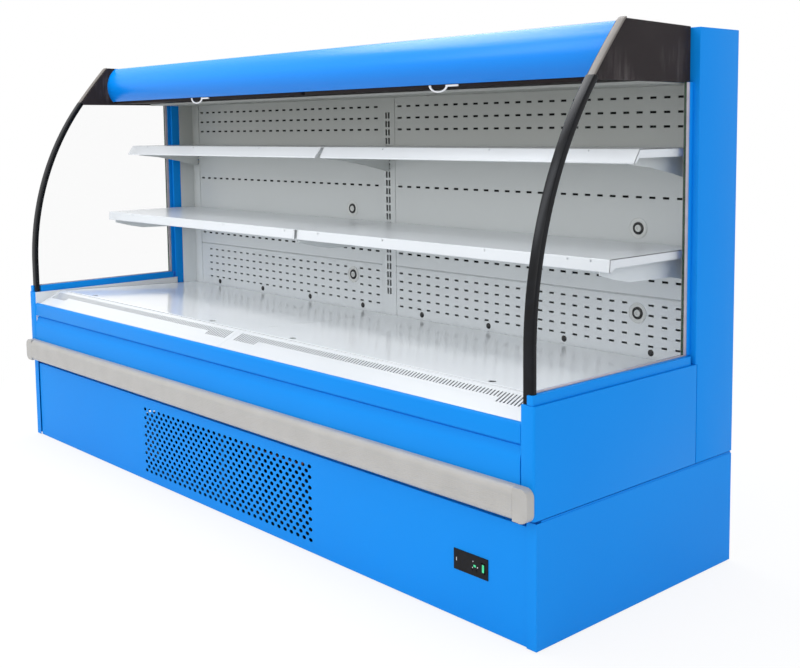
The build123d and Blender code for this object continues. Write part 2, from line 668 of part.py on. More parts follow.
def brackets(height, nose, drop):
    """Four brackets of one level: one at each end of each shelf."""
    inner = bracket(CATCH_OFFSET, height, nose, drop)
    outer = bracket(BRACKET_X, height, nose, drop)
    return group([mirrored(outer), mirrored(inner), inner, outer])


def upper_shelf_brackets():
    """Brackets of the narrow shelves."""
    height = UPPER_SHELF_HEIGHT
    nose = [(UPPER_SHELF_FRONT + reach, height - drop) for reach, drop in UPPER_BRACKET_NOSE]
    return brackets(height, nose, UPPER_BRACKET_DROP)


def lower_shelf_brackets():
    """Brackets of the deep shelves."""
    height = LOWER_SHELF_HEIGHT
    nose = [(LOWER_SHELF_FRONT + reach, height - drop) for reach, drop in LOWER_BRACKET_NOSE]
    return brackets(height, nose, LOWER_BRACKET_DROP)


# ---- end walls ----
def end_panel():
    """Low insulated end wall in front of the column."""
    return block(INNER, HALF, 0, END_PANEL_DEPTH, BODY_BOTTOM, END_PANEL_TOP)


def rear_column():
    """Full-height rear post; its flange steps forward above the end wall."""
    section = [(END_PANEL_DEPTH, BODY_BOTTOM), (DEPTH, BODY_BOTTOM), (DEPTH, ROOF_TOP), (COLUMN_FRONT, ROOF_TOP),
               (COLUMN_FRONT, END_PANEL_TOP), (END_PANEL_DEPTH, END_PANEL_TOP)]
    return along_x(outline(section), INNER, HALF)


def glass_sill():
    """Capping that seats the side glass; a thin nose passes outside the foot of the tube."""
    half = SILL_WIDTH / 2
    sill = block(GLASS_X - half, GLASS_X + half, SILL_FRONT, COLUMN_FRONT, END_PANEL_TOP, SILL_TOP)
    return sill + block(GLASS_X + half - SILL_NOSE_WIDTH, GLASS_X + half, SILL_NOSE, SILL_FRONT,
                        END_PANEL_TOP, SILL_TOP)


def edge_point(inset, angle):
    """A point on the large front curve, at an angle above level, moved in by the inset."""
    radius = EDGE_BIG_RADIUS - inset
    return (BIG_CENTRE[0] - radius * cos(angle), BIG_CENTRE[1] + radius * sin(angle))


def crown_point(inset, angle):
    """A point on the small top curve, at an angle above level, moved in by the inset."""
    radius = EDGE_TOP_RADIUS - inset
    return (TOP_CENTRE[0] - radius * cos(angle), TOP_CENTRE[1] + radius * sin(angle))


def crown_edges(inset, start):
    """Edges from a point on the large curve over the top of the small one."""
    big_middle = (start + MEET_ANGLE) / 2
    small_middle = (MEET_ANGLE + radians(90)) / 2
    meet = edge_point(inset, MEET_ANGLE)
    return [ThreePointArc(edge_point(inset, start), edge_point(inset, big_middle), meet),
            ThreePointArc(meet, crown_point(inset, small_middle), crown_point(inset, radians(90)))]


def pane_face():
    """The glass outline inside its edge channel."""
    step = TOP_CENTRE[0] + TUBE_DEPTH / 2
    low = (EDGE_FRONT + PANE_INSET, SILL_TOP)
    bend = edge_point(PANE_INSET, 0)
    crown = crown_point(PANE_INSET, radians(90))
    edges = [Line(low, bend)] + crown_edges(PANE_INSET, 0)
    edges += [Polyline(crown, (step, crown[1]), (step, GLASS_TOP), (COLUMN_FRONT, GLASS_TOP),
                       (COLUMN_FRONT, SILL_TOP), low)]
    return make_face(edges)


def side_glass():
    """Flat pane with the curved front edge."""
    return along_x(pane_face(), GLASS_X - GLASS_THICK / 2, GLASS_X + GLASS_THICK / 2)


def edge_tube():
    """Channel along the front edge of the glass, up to the light trim."""
    outer_end = edge_point(0, TRIM_ANGLE)
    inner_end = edge_point(TUBE_DEPTH, TRIM_ANGLE)
    outer_bend = edge_point(0, 0)
    inner_bend = edge_point(TUBE_DEPTH, 0)
    edges = [Line((EDGE_FRONT, SILL_TOP), outer_bend),
             ThreePointArc(outer_bend, edge_point(0, TRIM_ANGLE / 2), outer_end),
             Line(outer_end, inner_end),
             ThreePointArc(inner_end, edge_point(TUBE_DEPTH, TRIM_ANGLE / 2), inner_bend),
             Polyline(inner_bend, (EDGE_FRONT + TUBE_DEPTH, SILL_TOP), (EDGE_FRONT, SILL_TOP))]
    outside = HALF - TUBE_OUTER
    tube = along_x(make_face(edges), outside - TUBE_WIDTH, outside)
    nose_inside = GLASS_X + SILL_WIDTH / 2 - SILL_NOSE_WIDTH
    tube += block(outside - TUBE_WIDTH, nose_inside, EDGE_FRONT, EDGE_FRONT + TUBE_DEPTH, END_PANEL_TOP, SILL_TOP)
    return tube - side_glass()


def edge_trim():
    """Light cap that carries the edge on over the canopy, with a rounded end."""
    outer_end = edge_point(0, TRIM_ANGLE)
    inner_end = edge_point(TUBE_DEPTH, TRIM_ANGLE)
    top = crown_point(0, radians(90))
    low = crown_point(TUBE_DEPTH, radians(90))
    nose = (top[0] + TUBE_DEPTH / 2, (top[1] + low[1]) / 2)
    edges = crown_edges(0, TRIM_ANGLE) + crown_edges(TUBE_DEPTH, TRIM_ANGLE)
    edges += [ThreePointArc(top, nose, low), Line(inner_end, outer_end)]
    outside = HALF - TUBE_OUTER
    return along_x(make_face(edges), outside - TUBE_WIDTH, outside) - side_glass()


def canopy_side_arm():
    """Black plate inside the top of the glass that carries the canopy, roof and blinds."""
    lead = edge_point(TUBE_DEPTH, asin((ARM_BOTTOM + 24 - EDGE_BEND_HEIGHT) / EDGE_BIG_RADIUS))
    roof_front = edge_point(TUBE_DEPTH, MEET_ANGLE)
    section = [(lead[0] + 2, lead[1]), roof_front, (TOP_CENTRE[0], GLASS_TOP - TUBE_DEPTH),
               (COLUMN_FRONT, GLASS_TOP - TUBE_DEPTH), (COLUMN_FRONT, ARM_BOTTOM), (lead[0] + 30, ARM_BOTTOM)]
    arm = along_x(outline(section), INNER, GLASS_X - GLASS_THICK / 2)
    return arm - sided_x(PIN_RADIUS + PIN_CLEARANCE, 12, INNER - 1, INNER + 8, ROLLER_Y, ROLLER_Z, tips=False)


# ---- fascia and bumper ----
def fascia_rail():
    """Top front rail with its rounded upper edge."""
    nose = (RAIL_FRONT + RAIL_NOSE, RAIL_TOP - RAIL_NOSE)
    turn = RAIL_NOSE * cos(radians(45))
    edges = [Polyline((TANK_FRONT, RAIL_BOTTOM), (RAIL_FRONT, RAIL_BOTTOM), (RAIL_FRONT, nose[1])),
             ThreePointArc((RAIL_FRONT, nose[1]), (nose[0] - turn, nose[1] + turn), (nose[0], RAIL_TOP)),
             Polyline((nose[0], RAIL_TOP), (TANK_FRONT, RAIL_TOP), (TANK_FRONT, RAIL_BOTTOM))]
    rail = along_x(make_face(edges), -INNER, INNER)
    hollow = block(-INNER, INNER, RAIL_FRONT + 2, TANK_FRONT, RAIL_BOTTOM + 2, nose[1])
    return rail - hollow


def fascia_skirt():
    """Bowed front sheet below the groove, running down behind the bumper."""
    top = RAIL_BOTTOM - GROOVE
    edges = [Polyline((TANK_FRONT, top), (RAIL_FRONT + 4, top)),
             ThreePointArc((RAIL_FRONT + 4, top), (RAIL_FRONT - 1.2, (top + BUMPER_TOP) / 2 + 12), (RAIL_FRONT, BUMPER_TOP)),
             Polyline((RAIL_FRONT, BUMPER_TOP), (0, BUMPER_TOP), (0, BUMPER_BOTTOM), (TANK_FRONT, BUMPER_BOTTOM),
                      (TANK_FRONT, top))]
    return along_x(make_face(edges), -INNER, INNER)


def bumper_edges():
    """D-shaped bumper section without its grooves."""
    turn = BUMPER_EDGE * (1 - cos(radians(45)))
    low = BUMPER_BOTTOM + BUMPER_EDGE
    high = BUMPER_TOP - BUMPER_EDGE
    front = -BUMPER_REACH
    inner = front + BUMPER_EDGE
    edges = [Polyline((inner, BUMPER_BOTTOM), (0, BUMPER_BOTTOM), (0, BUMPER_TOP), (inner, BUMPER_TOP)),
             ThreePointArc((inner, BUMPER_TOP), (front + turn, BUMPER_TOP - turn), (front, high)),
             Line((front, high), (front, low)),
             ThreePointArc((front, low), (front + turn, BUMPER_BOTTOM + turn), (inner, BUMPER_BOTTOM))]
    return make_face(edges)


def bumper_rail():
    """Long bumper extrusion with fine grooves along its face."""
    section = bumper_edges()
    middle = (BUMPER_TOP + BUMPER_BOTTOM) / 2
    for i in range(BUMPER_GROOVES):
        z = middle + (i - (BUMPER_GROOVES - 1) / 2) * BUMPER_GROOVE_PITCH
        section -= outline([(-BUMPER_REACH - 1, z - 1.5), (-BUMPER_REACH + BUMPER_GROOVE_DEPTH, z),
                            (-BUMPER_REACH - 1, z + 1.5)])
    return along_x(section, BUMPER_CAP - HALF, HALF - BUMPER_CAP)


def bumper_end_cap():
    """Moulded end of the bumper, rounded in plan."""
    cap = along_x(bumper_edges(), HALF - BUMPER_CAP, HALF)
    reach = BUMPER_REACH * 0.9
    seam = HALF - BUMPER_CAP
    turn = (HALF - reach * 0.3, -BUMPER_REACH * 0.7)
    plan = make_face([ThreePointArc((HALF, 0), turn, (HALF - reach, -BUMPER_REACH)),
                      Polyline((HALF - reach, -BUMPER_REACH), (seam, -BUMPER_REACH), (seam, 0), (HALF, 0))])
    return cap & along_z(plan, BUMPER_BOTTOM, BUMPER_TOP)


# ---- canopy, roof and blinds ----
def canopy_front():
    """Bulged canopy with a bead along its foot."""
    bulge = (CANOPY_FOOT - CANOPY_BULGE, CANOPY_FOOT_HEIGHT + CANOPY_BULGE_RISE)
    back = CANOPY_BACK + 8
    bead = (CANOPY_FOOT - 12, CANOPY_FOOT_HEIGHT + 17)
    foot = (CANOPY_FOOT + CANOPY_LIP, CANOPY_FOOT_HEIGHT)
    low = CANOPY_TOP - CANOPY_SHEET
    edges = [Line(foot, (CANOPY_FOOT, CANOPY_FOOT_HEIGHT)),
             ThreePointArc((CANOPY_FOOT, CANOPY_FOOT_HEIGHT), (CANOPY_FOOT - 7, CANOPY_FOOT_HEIGHT + 8), bead),
             ThreePointArc(bead, bulge, (CANOPY_CREST, CANOPY_TOP)),
             Polyline((CANOPY_CREST, CANOPY_TOP), (back, CANOPY_TOP), (back, low), (CANOPY_CREST + 2, low)),
             ThreePointArc((CANOPY_CREST + 2, low), (bulge[0] + CANOPY_SHEET, bulge[1]),
                           (bead[0] + CANOPY_SHEET, bead[1])),
             Line((bead[0] + CANOPY_SHEET, bead[1]), foot)]
    return along_x(make_face(edges), -INNER, INNER)


def roof_panel():
    """Foamed roof between the side arms and the back wall."""
    return block(-INNER, INNER, ROOF_FRONT, BACK_WALL_FRONT, ROOF_TOP - FOAM_WALL, ROOF_TOP)


def blind_housing():
    """Black box over the blinds: under-plate, rear wall, front stay and middle bearing plate."""
    under = CANOPY_FOOT_HEIGHT - 8
    roof = ROOF_TOP - FOAM_WALL
    path = [(CANOPY_BACK, under), (HOUSING_BACK, under), (HOUSING_BACK, roof)]
    housing = along_x(folded(path, SHEET), -INNER, INNER)
    plate = block(-BLIND_BRACKET_THICK / 2, BLIND_BRACKET_THICK / 2, ROLLER_Y - 34, HOUSING_BACK, under, roof)
    plate -= sided_x(PIN_RADIUS + PIN_CLEARANCE, 12, -BLIND_BRACKET_THICK, BLIND_BRACKET_THICK, ROLLER_Y, ROLLER_Z,
                     tips=False)
    return housing + plate


def ceiling_panel():
    """White ceiling sheet with a turned-up front edge."""
    path = [(HOUSING_BACK, CEILING_HEIGHT + 22), (HOUSING_BACK, CEILING_HEIGHT),
            (PANEL_FACE + SHEET, CEILING_HEIGHT)]
    return along_x(folded(path, SHEET), -INNER, INNER)


def blind_roller():
    """Spring roller with the wound cloth of one bay; its pins run in the arm and middle plate."""
    inner = BLIND_BRACKET_THICK / 2 + ROLLER_END_GAP
    outer = INNER - ROLLER_END_GAP
    roller = sided_x(ROLL_RADIUS, 16, inner, outer, ROLLER_Y, ROLLER_Z)
    return roller + cylinder_x(PIN_RADIUS, 0.5, INNER + 7, ROLLER_Y, ROLLER_Z)


def blind_bar():
    """Pull bar of one bay with its looped handle."""
    inner = BAR_END_GAP
    outer = INNER - BAR_END_GAP
    middle = BAR_FRONT + BAR_WIDTH / 2
    bar = block(inner, outer, BAR_FRONT, BAR_FRONT + BAR_WIDTH, BAR_BOTTOM, BAR_BOTTOM + BAR_HEIGHT)
    half = HANDLE_WIDTH / 2 - HANDLE_ROD
    low = BAR_BOTTOM - HANDLE_DROP
    path = FilletPolyline((BAY_MIDDLE - half, middle, BAR_BOTTOM + 1), (BAY_MIDDLE - half * 0.8, middle, low),
                          (BAY_MIDDLE + half * 0.8, middle, low), (BAY_MIDDLE + half, middle, BAR_BOTTOM + 1),
                          radius=HANDLE_DROP * 0.6)
    start = Plane(origin=path @ 0, z_dir=path % 0)
    loop = sweep(start * RegularPolygon(HANDLE_ROD, 6), path=path)
    strip = block(BAY_MIDDLE - half - 8, BAY_MIDDLE + half + HANDLE_STRIP, middle - 7, middle + 7,
                  BAR_BOTTOM - 2, BAR_BOTTOM)
    return bar + loop + strip


# ---- controller ----
def controller_panel():
    """Glossy fascia of the controller with seats for its keys and switch."""
    face = CONTROL_FACE
    x0 = CONTROL_X - CONTROL_WIDTH / 2
    z0 = CONTROL_Z - CONTROL_HEIGHT / 2
    panel = block(x0 - 2, x0 + CONTROL_WIDTH + 2, face, face + 2, z0 - 2, z0 + CONTROL_HEIGHT + 2)
    panel += block(x0, x0 + CONTROL_WIDTH, face + 2, face + 30, z0, z0 + CONTROL_HEIGHT)
    panel -= block(SWITCH_X - SWITCH_WIDTH / 2, SWITCH_X + SWITCH_WIDTH / 2, face - 1, face + 16,
                   CONTROL_Z - SWITCH_HEIGHT / 2, CONTROL_Z + SWITCH_HEIGHT / 2)
    reach = SWITCH_WIDTH / 2 + SWITCH_PIN_REACH + FIT
    panel -= sided_x(SWITCH_PIN + PIN_CLEARANCE, 8, SWITCH_X - reach, SWITCH_X + reach, face + SWITCH_PIN_DEPTH,
                     CONTROL_Z, tips=False)
    for x in KEY_PLACES:
        panel -= sided_y(KEY_RADIUS + KEY_GAP, 12, x, face - 1, face + KEY_DEPTH + 1, KEY_Z, tips=False)
    return panel


def power_switch():
    """Rocker on a cross pin in the controller."""
    face = CONTROL_FACE
    half = SWITCH_HEIGHT / 2 - 1.2
    section = outline([(face - 2.6, -half), (face - 1.2, 0), (face - 2.0, half), (face + 5, half - 2),
                       (face + 7, 0), (face + 5, 2 - half)])
    rocker = along_x(section, SWITCH_X - SWITCH_WIDTH / 2 + 0.3, SWITCH_X + SWITCH_WIDTH / 2 - 0.3)
    reach = SWITCH_WIDTH / 2 + SWITCH_PIN_REACH
    pin = cylinder_x(SWITCH_PIN, SWITCH_X - reach, SWITCH_X + reach, face + SWITCH_PIN_DEPTH, CONTROL_Z)
    return Pos(0, 0, CONTROL_Z) * rocker + pin


def key(x):
    """Small round push key."""
    face = CONTROL_FACE
    return cylinder_y(KEY_RADIUS, x, face - 1.2, face + KEY_DEPTH - 0.3, KEY_Z)


def both(name, shape):
    """Writes the left and right versions of a piece under their own names."""
    save(name + "_left", mirrored(shape))
    save(name + "_right", shape)


os.makedirs("parts", exist_ok=True)

save("base_frame", base_frame())
save("levelling_feet", levelling_feet())
save("base_front_panel", base_front_panel())
both("base_side_panel", base_side_panel())
save("base_rear_grille", base_rear_grille())
save("compressor", compressor())
save("condenser_coil", condenser_coil())
save("condenser_fan_shroud", condenser_fan_shroud())
save("condenser_fan", fan(CONDENSER_X, CONDENSER_HUB_Y, CONDENSER_HUB_Z))
save("refrigerant_pipes", refrigerant_pipes())
save("condensate_tray", condensate_tray())

save("insulated_tank", insulated_tank())
save("insulated_back_wall", insulated_back_wall())
save("evaporator_coil", evaporator_coil())
save("evaporator_fan_plate", evaporator_fan_plate())
save("evaporator_fan_left", fan(-EVAPORATOR_FAN_X, FAN_PLATE_Y, EVAPORATOR_HUB_Z))
save("evaporator_fan_right", fan(EVAPORATOR_FAN_X, FAN_PLATE_Y, EVAPORATOR_HUB_Z))
save("deck_rails", deck_rails())
save("return_grilles", pair(return_grille()))
both("deck_panel", deck_panel())

save("upper_back_panels", upper_back_panels())
save("lower_back_panels", lower_back_panels())
save("panel_ports", panel_ports())
save("panel_plugs", panel_plugs())
save("shelf_uprights", shelf_uprights())
both("upper_shelf", upper_shelf())
both("lower_shelf", lower_shelf())
save("upper_shelf_brackets", upper_shelf_brackets())
save("lower_shelf_brackets", lower_shelf_brackets())

both("end_panel", end_panel())
both("rear_column", rear_column())
save("glass_sills", pair(glass_sill()))
both("side_glass", side_glass())
both("edge_tube", edge_tube())
save("edge_trims", pair(edge_trim()))
save("canopy_side_arms", pair(canopy_side_arm()))

save("fascia_rail", fascia_rail())
save("fascia_skirt", fascia_skirt())
save("bumper_rail", bumper_rail())
save("bumper_end_caps", pair(bumper_end_cap()))

save("canopy_front", canopy_front())
save("roof_panel", roof_panel())
save("blind_housing", blind_housing())
save("ceiling_panel", ceiling_panel())
both("blind_roller", blind_roller())
both("blind_bar", blind_bar())

save("controller_panel", controller_panel())
save("power_switch", power_switch())
save("controller_key_down", key(KEY_PLACES[0]))
save("controller_key_up", key(KEY_PLACES[1]))
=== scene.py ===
import math

import bmesh
import bpy
from mathutils import Matrix, Vector


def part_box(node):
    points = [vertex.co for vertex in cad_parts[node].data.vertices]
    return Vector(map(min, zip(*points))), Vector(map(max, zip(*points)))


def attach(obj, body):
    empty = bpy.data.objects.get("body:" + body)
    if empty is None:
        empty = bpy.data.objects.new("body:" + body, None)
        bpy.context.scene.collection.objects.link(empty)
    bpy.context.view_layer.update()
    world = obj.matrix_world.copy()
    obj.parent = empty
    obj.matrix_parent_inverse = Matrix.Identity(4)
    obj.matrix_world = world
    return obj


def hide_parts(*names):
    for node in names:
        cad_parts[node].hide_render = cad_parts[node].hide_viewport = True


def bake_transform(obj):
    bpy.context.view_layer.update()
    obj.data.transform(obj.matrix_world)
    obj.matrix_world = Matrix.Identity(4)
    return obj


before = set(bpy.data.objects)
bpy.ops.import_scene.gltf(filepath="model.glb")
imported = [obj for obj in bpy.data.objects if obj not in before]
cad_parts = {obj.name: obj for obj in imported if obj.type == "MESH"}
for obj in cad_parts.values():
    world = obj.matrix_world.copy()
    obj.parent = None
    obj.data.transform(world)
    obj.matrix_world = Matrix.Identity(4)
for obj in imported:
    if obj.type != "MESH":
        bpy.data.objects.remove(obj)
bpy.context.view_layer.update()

# Studio: the case stands on a pale seamless floor under large soft lamps. The camera stands
# where the photograph was taken from, in front of the right-hand end at eye level for a
# crouching person, so the far end shrinks strongly.
PHOTO_WIDTH = 800
PHOTO_HEIGHT = 668
FOCAL_PIXELS = 1119.9
HORIZON_CENTRE = 239.9
CAMERA_PLACE = (2.8786, -2.2220, 1.1774)
CAMERA_TURN = (84.361, 0.641, 47.754)
SENSOR = 36.0

camera_data = bpy.data.cameras.new("photo_camera")
camera_data.sensor_width = SENSOR
camera_data.sensor_fit = "HORIZONTAL"
camera_data.lens = FOCAL_PIXELS * SENSOR / PHOTO_WIDTH
camera_data.shift_y = (HORIZON_CENTRE - PHOTO_HEIGHT / 2) / PHOTO_WIDTH
camera_data.clip_start = 0.05
camera_data.clip_end = 60
camera = bpy.data.objects.new("photo_camera", camera_data)
camera.location = CAMERA_PLACE
camera.rotation_euler = [math.radians(angle) for angle in CAMERA_TURN]
bpy.context.collection.objects.link(camera)
bpy.context.scene.camera = camera
bpy.context.scene.view_settings.view_transform = "Standard"


def linear(code):
    """An sRGB hex colour as the linear values that Blender works in."""
    channels = [int(code[i:i + 2], 16) / 255 for i in (1, 3, 5)]
    return tuple(c / 12.92 if c <= 0.04045 else ((c + 0.055) / 1.055) ** 2.4 for c in channels) + (1.0,)


def add(tree, kind, inputs=None, **settings):
    """A node with its settings, and its inputs set or linked."""
    made = tree.nodes.new(kind)
    for name, value in settings.items():
        setattr(made, name, value)
    for name, value in (inputs or {}).items():
        if isinstance(value, bpy.types.NodeSocket):
            tree.links.new(value, made.inputs[name])
        else:
            made.inputs[name].default_value = value
    return made


def lamp(name, place, aim, width, height, watts, colour):
    """A soft rectangular lamp that points at a place."""
    light = bpy.data.lights.new(name, "AREA")
    light.shape = "RECTANGLE"
    light.size = width
    light.size_y = height
    light.energy = watts
    light.color = linear(colour)[:3]
    lamp_object = bpy.data.objects.new(name, light)
    lamp_object.location = place
    lamp_object.rotation_euler = (Vector(aim) - Vector(place)).to_track_quat("-Z", "Y").to_euler()
    bpy.context.collection.objects.link(lamp_object)


def looked_at(tree):
    """One for the rays that look: from the camera, through glass or off a gloss, and zero for the others."""
    rays = add(tree, "ShaderNodeLightPath")
    direct = add(tree, "ShaderNodeMath", {0: rays.outputs["Is Camera Ray"], 1: rays.outputs["Is Transmission Ray"]},
                 operation="MAXIMUM")
    return add(tree, "ShaderNodeMath", {0: direct.outputs[0], 1: rays.outputs["Is Glossy Ray"]},
               operation="MAXIMUM").outputs[0]


lamp("key_softbox", (0.6, -4.2, 2.0), (0, 0, 0.7), 4.0, 2.0, 33, "#fffdf8")
lamp("left_softbox", (-1.9, -3.2, 3.1), (1.2, -0.3, 1.0), 0.9, 2.0, 24, "#f4f8ff")
lamp("upper_left_softbox", (-1.35, -1.2, 4.1), (1.2, -0.2, 1.2), 1.0, 1.7, 20, "#f4f8ff")
lamp("end_softbox", (5.2, -0.6, 2.2), (0.6, 0, 0.8), 2.4, 2.0, 22, "#f6f9ff")
lamp("top_softbox", (0, 0.2, 4.2), (0, 0, 0.6), 4.0, 2.4, 20, "#ffffff")
lamp("crest_softbox", (-1.2, 0.35, 3.5), (0.3, 0, 1.4), 2.6, 1.3, 50, "#ffffff")

world = bpy.data.worlds.new("studio_air")
world.use_nodes = True
air = world.node_tree
air.nodes.clear()
fill_air = add(air, "ShaderNodeBackground", {"Color": linear("#eef2f7"), "Strength": 0.97})
white_air = add(air, "ShaderNodeBackground", {"Color": (1, 1, 1, 1), "Strength": 1.0})
air_mix = add(air, "ShaderNodeMixShader", {0: looked_at(air), 1: fill_air.outputs[0], 2: white_air.outputs[0]})
add(air, "ShaderNodeOutputWorld", {"Surface": air_mix.outputs[0]})
bpy.context.scene.world = world


# The floor is a seamless roll of white paper. It shows nearly white to the camera and keeps
# a soft shadow where the case stands. Under the case it is in the dark.
SHADOW_RANGE = (1.0, 2.3)
SHADOW_GLOW = 0.80
DARK_HALVES = (1.27, 0.36)


def surface(name):
    """A new material with its tree, its shader and the piece's own coordinates."""
    material = bpy.data.materials.new(name)
    material.use_nodes = True
    tree = material.node_tree
    tree.nodes.clear()
    shader = add(tree, "ShaderNodeBsdfPrincipled")
    add(tree, "ShaderNodeOutputMaterial", {"Surface": shader.outputs[0]})
    coordinates = add(tree, "ShaderNodeTexCoord").outputs["Object"]
    return material, tree, shader, coordinates


floor_mesh = bmesh.new()
bmesh.ops.create_grid(floor_mesh, x_segments=1, y_segments=1, size=12)
floor_data = bpy.data.meshes.new("studio_floor")
floor_mesh.to_mesh(floor_data)
floor_mesh.free()
studio_floor = bpy.data.objects.new("studio_floor", floor_data)
bpy.context.collection.objects.link(studio_floor)
paper, paper_tree, paper_shader, paper_place = surface("seamless_paper")
paper_shader.inputs["Base Color"].default_value = linear("#f7f8fa")
paper_shader.inputs["Roughness"].default_value = 0.9
glow = add(paper_tree, "ShaderNodeEmission", {"Color": (1, 1, 1, 1), "Strength": 1.0})
reach = add(paper_tree, "ShaderNodeVectorMath", {0: paper_place}, operation="LENGTH")
fade = add(paper_tree, "ShaderNodeMapRange", {"Value": reach.outputs["Value"], "From Min": SHADOW_RANGE[0],
                                              "From Max": SHADOW_RANGE[1], "To Min": SHADOW_GLOW, "To Max": 1.0})
aside = add(paper_tree, "ShaderNodeVectorMath", {0: paper_place}, operation="ABSOLUTE")
across = add(paper_tree, "ShaderNodeSeparateXYZ", {"Vector": aside.outputs[0]})
past_end = add(paper_tree, "ShaderNodeMath", {0: across.outputs["X"], 1: DARK_HALVES[0]},
               operation="GREATER_THAN")
past_side = add(paper_tree, "ShaderNodeMath", {0: across.outputs["Y"], 1: DARK_HALVES[1]},
                operation="GREATER_THAN")
clear = add(paper_tree, "ShaderNodeMath", {0: past_end.outputs[0], 1: past_side.outputs[0]}, operation="MAXIMUM")
lit = add(paper_tree, "ShaderNodeMath", {0: clear.outputs[0], 1: fade.outputs["Result"]}, operation="MULTIPLY")
share = add(paper_tree, "ShaderNodeMath", {0: looked_at(paper_tree), 1: lit.outputs[0]}, operation="MULTIPLY")
paper_mix = add(paper_tree, "ShaderNodeMixShader", {0: share.outputs[0], 1: paper_shader.outputs[0],
                                                    2: glow.outputs[0]})
add(paper_tree, "ShaderNodeOutputMaterial", {"Surface": paper_mix.outputs[0]}, is_active_output=True)
floor_data.materials.append(paper)

# Blue skins: zinc-coated sheet, powder coated and stoved. The coat gives a smooth, faintly
# pebbled satin and the same strong blue on every outside panel.
SKIN_BLUE = "#0887dd"
SKIN_BLUE_DEEP = "#0884da"
PEBBLE = 1.6
SKIN_CLOUD = 625


def coloured(tree, shader, value, span, shades, roughness, specular=0.5, metallic=0.0):
    """Gives a shader its shine, and takes it from one shade to another while a value goes through a span."""
    share = add(tree, "ShaderNodeMapRange", {"Value": value, "From Min": span[0], "From Max": span[1]})
    shade = add(tree, "ShaderNodeMix", {0: share.outputs["Result"], 6: linear(shades[0]), 7: linear(shades[1])},
                data_type="RGBA")
    tree.links.new(shade.outputs[2], shader.inputs["Base Color"])
    shader.inputs["Roughness"].default_value = roughness
    shader.inputs["Specular IOR Level"].default_value = specular
    shader.inputs["Metallic"].default_value = metallic


def mottled(name, patch, span, shades, roughness, detail=2.0, specular=0.5, metallic=0.0):
    """A finish that wanders between two close shades, in patches of a size in millimetres."""
    material, tree, shader, place = surface(name)
    cloud = add(tree, "ShaderNodeTexNoise", {"Vector": place, "Scale": 1000 / patch, "Detail": detail})
    coloured(tree, shader, cloud.outputs["Fac"], span, shades, roughness, specular, metallic)
    return material, tree, shader, place


def pebbled(tree, shader, place, width, strength):
    """Gives a coat its fine pebble, of a width in millimetres and 0.3 mm high at most."""
    pebble = add(tree, "ShaderNodeTexNoise", {"Vector": place, "Scale": 1000 / width, "Detail": 1.0})
    relief = add(tree, "ShaderNodeBump", {"Height": pebble.outputs["Fac"], "Strength": strength,
                                          "Distance": 0.0003})
    tree.links.new(relief.outputs[0], shader.inputs["Normal"])


def dress(material, *names):
    """Gives a material to CAD nodes."""
    for name in names:
        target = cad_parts[name]
        for place in target.material_slots:
            place.material = material
        if not target.material_slots:
            target.data.materials.append(material)


skin_blue, tree, shader, place = mottled("powder_coat_blue", SKIN_CLOUD, (0.35, 0.65),
                                         (SKIN_BLUE_DEEP, SKIN_BLUE), 0.45, specular=0.10)
pebbled(tree, shader, place, PEBBLE, 0.06)
dress(skin_blue, "base_side_panel_left", "base_side_panel_right", "insulated_back_wall")

# Base frame: welded steel, coated black inside the case, which is also painted shade that keeps
# the holes and the gap under the bumper dark, and blue along its outer ends, where its edge shows
# in the joint under the end walls.
FRAME_END = (1.2500, 1.2510)


def uneven(tree, place, axis, span, patch, detail, amount):
    """How far a place is through a span of an axis, on either side, made uneven in patches of some millimetres."""
    aside = add(tree, "ShaderNodeVectorMath", {0: place}, operation="ABSOLUTE")
    apart = add(tree, "ShaderNodeSeparateXYZ", {"Vector": aside.outputs[0]})
    painted_shading = add(tree, "ShaderNodeMapRange", {"Value": apart.outputs[axis], "From Min": span[0], "From Max": span[1]})
    cloud = add(tree, "ShaderNodeTexNoise", {"Vector": place, "Scale": 1000 / patch, "Detail": detail})
    drift = add(tree, "ShaderNodeMath", {0: cloud.outputs["Fac"], 1: amount}, operation="MULTIPLY")
    return add(tree, "ShaderNodeMath", {0: painted_shading.outputs["Result"], 1: drift.outputs[0]}).outputs[0]


# Black inside the case: partly painted shade for the dark inside of the base.
frame_coat, tree, shader, place = surface("powder_coat_frame")
outer = uneven(tree, place, "X", FRAME_END, 33.33, 2.0, -0.05)
coloured(tree, shader, outer, (0.0, 0.95), ("#0b0f14", "#0a84dc"), 0.5, specular=0.10)
dress(frame_coat, "base_frame")

# Base front: a long blue sheet folded back at its top and foot, with a field of round air
# holes in staggered rows in front of the condenser and a square cut-out for the controller.
DATUM = 0.391
FRONT_FACE = 0.012 - DATUM
FRONT_HALF = 1.2575
FRONT_LOW = 0.004
FRONT_HIGH = 0.2860
FRONT_SHEET = 0.0015
FRONT_RETURN = 0.014
HOLE_RADIUS = (0.0087, 0.0058)
HOLE_PITCH = 0.0301
HOLE_COLUMNS = 31
HOLE_ROWS = 8
HOLE_LEFT = -0.4435
HOLE_LOW = 0.039
CUTOUT = (1.029, 1.137, 0.126, 0.173)


def box_between(mesh, low, high):
    """Adds a box between two opposite corners, and gives back its vertices."""
    size = [b - a for a, b in zip(low, high)]
    middle = [(a + b) / 2 for a, b in zip(low, high)]
    placed = Matrix.Translation(middle) @ Matrix.Diagonal((*size, 1))
    return bmesh.ops.create_cube(mesh, size=1, matrix=placed)["verts"]


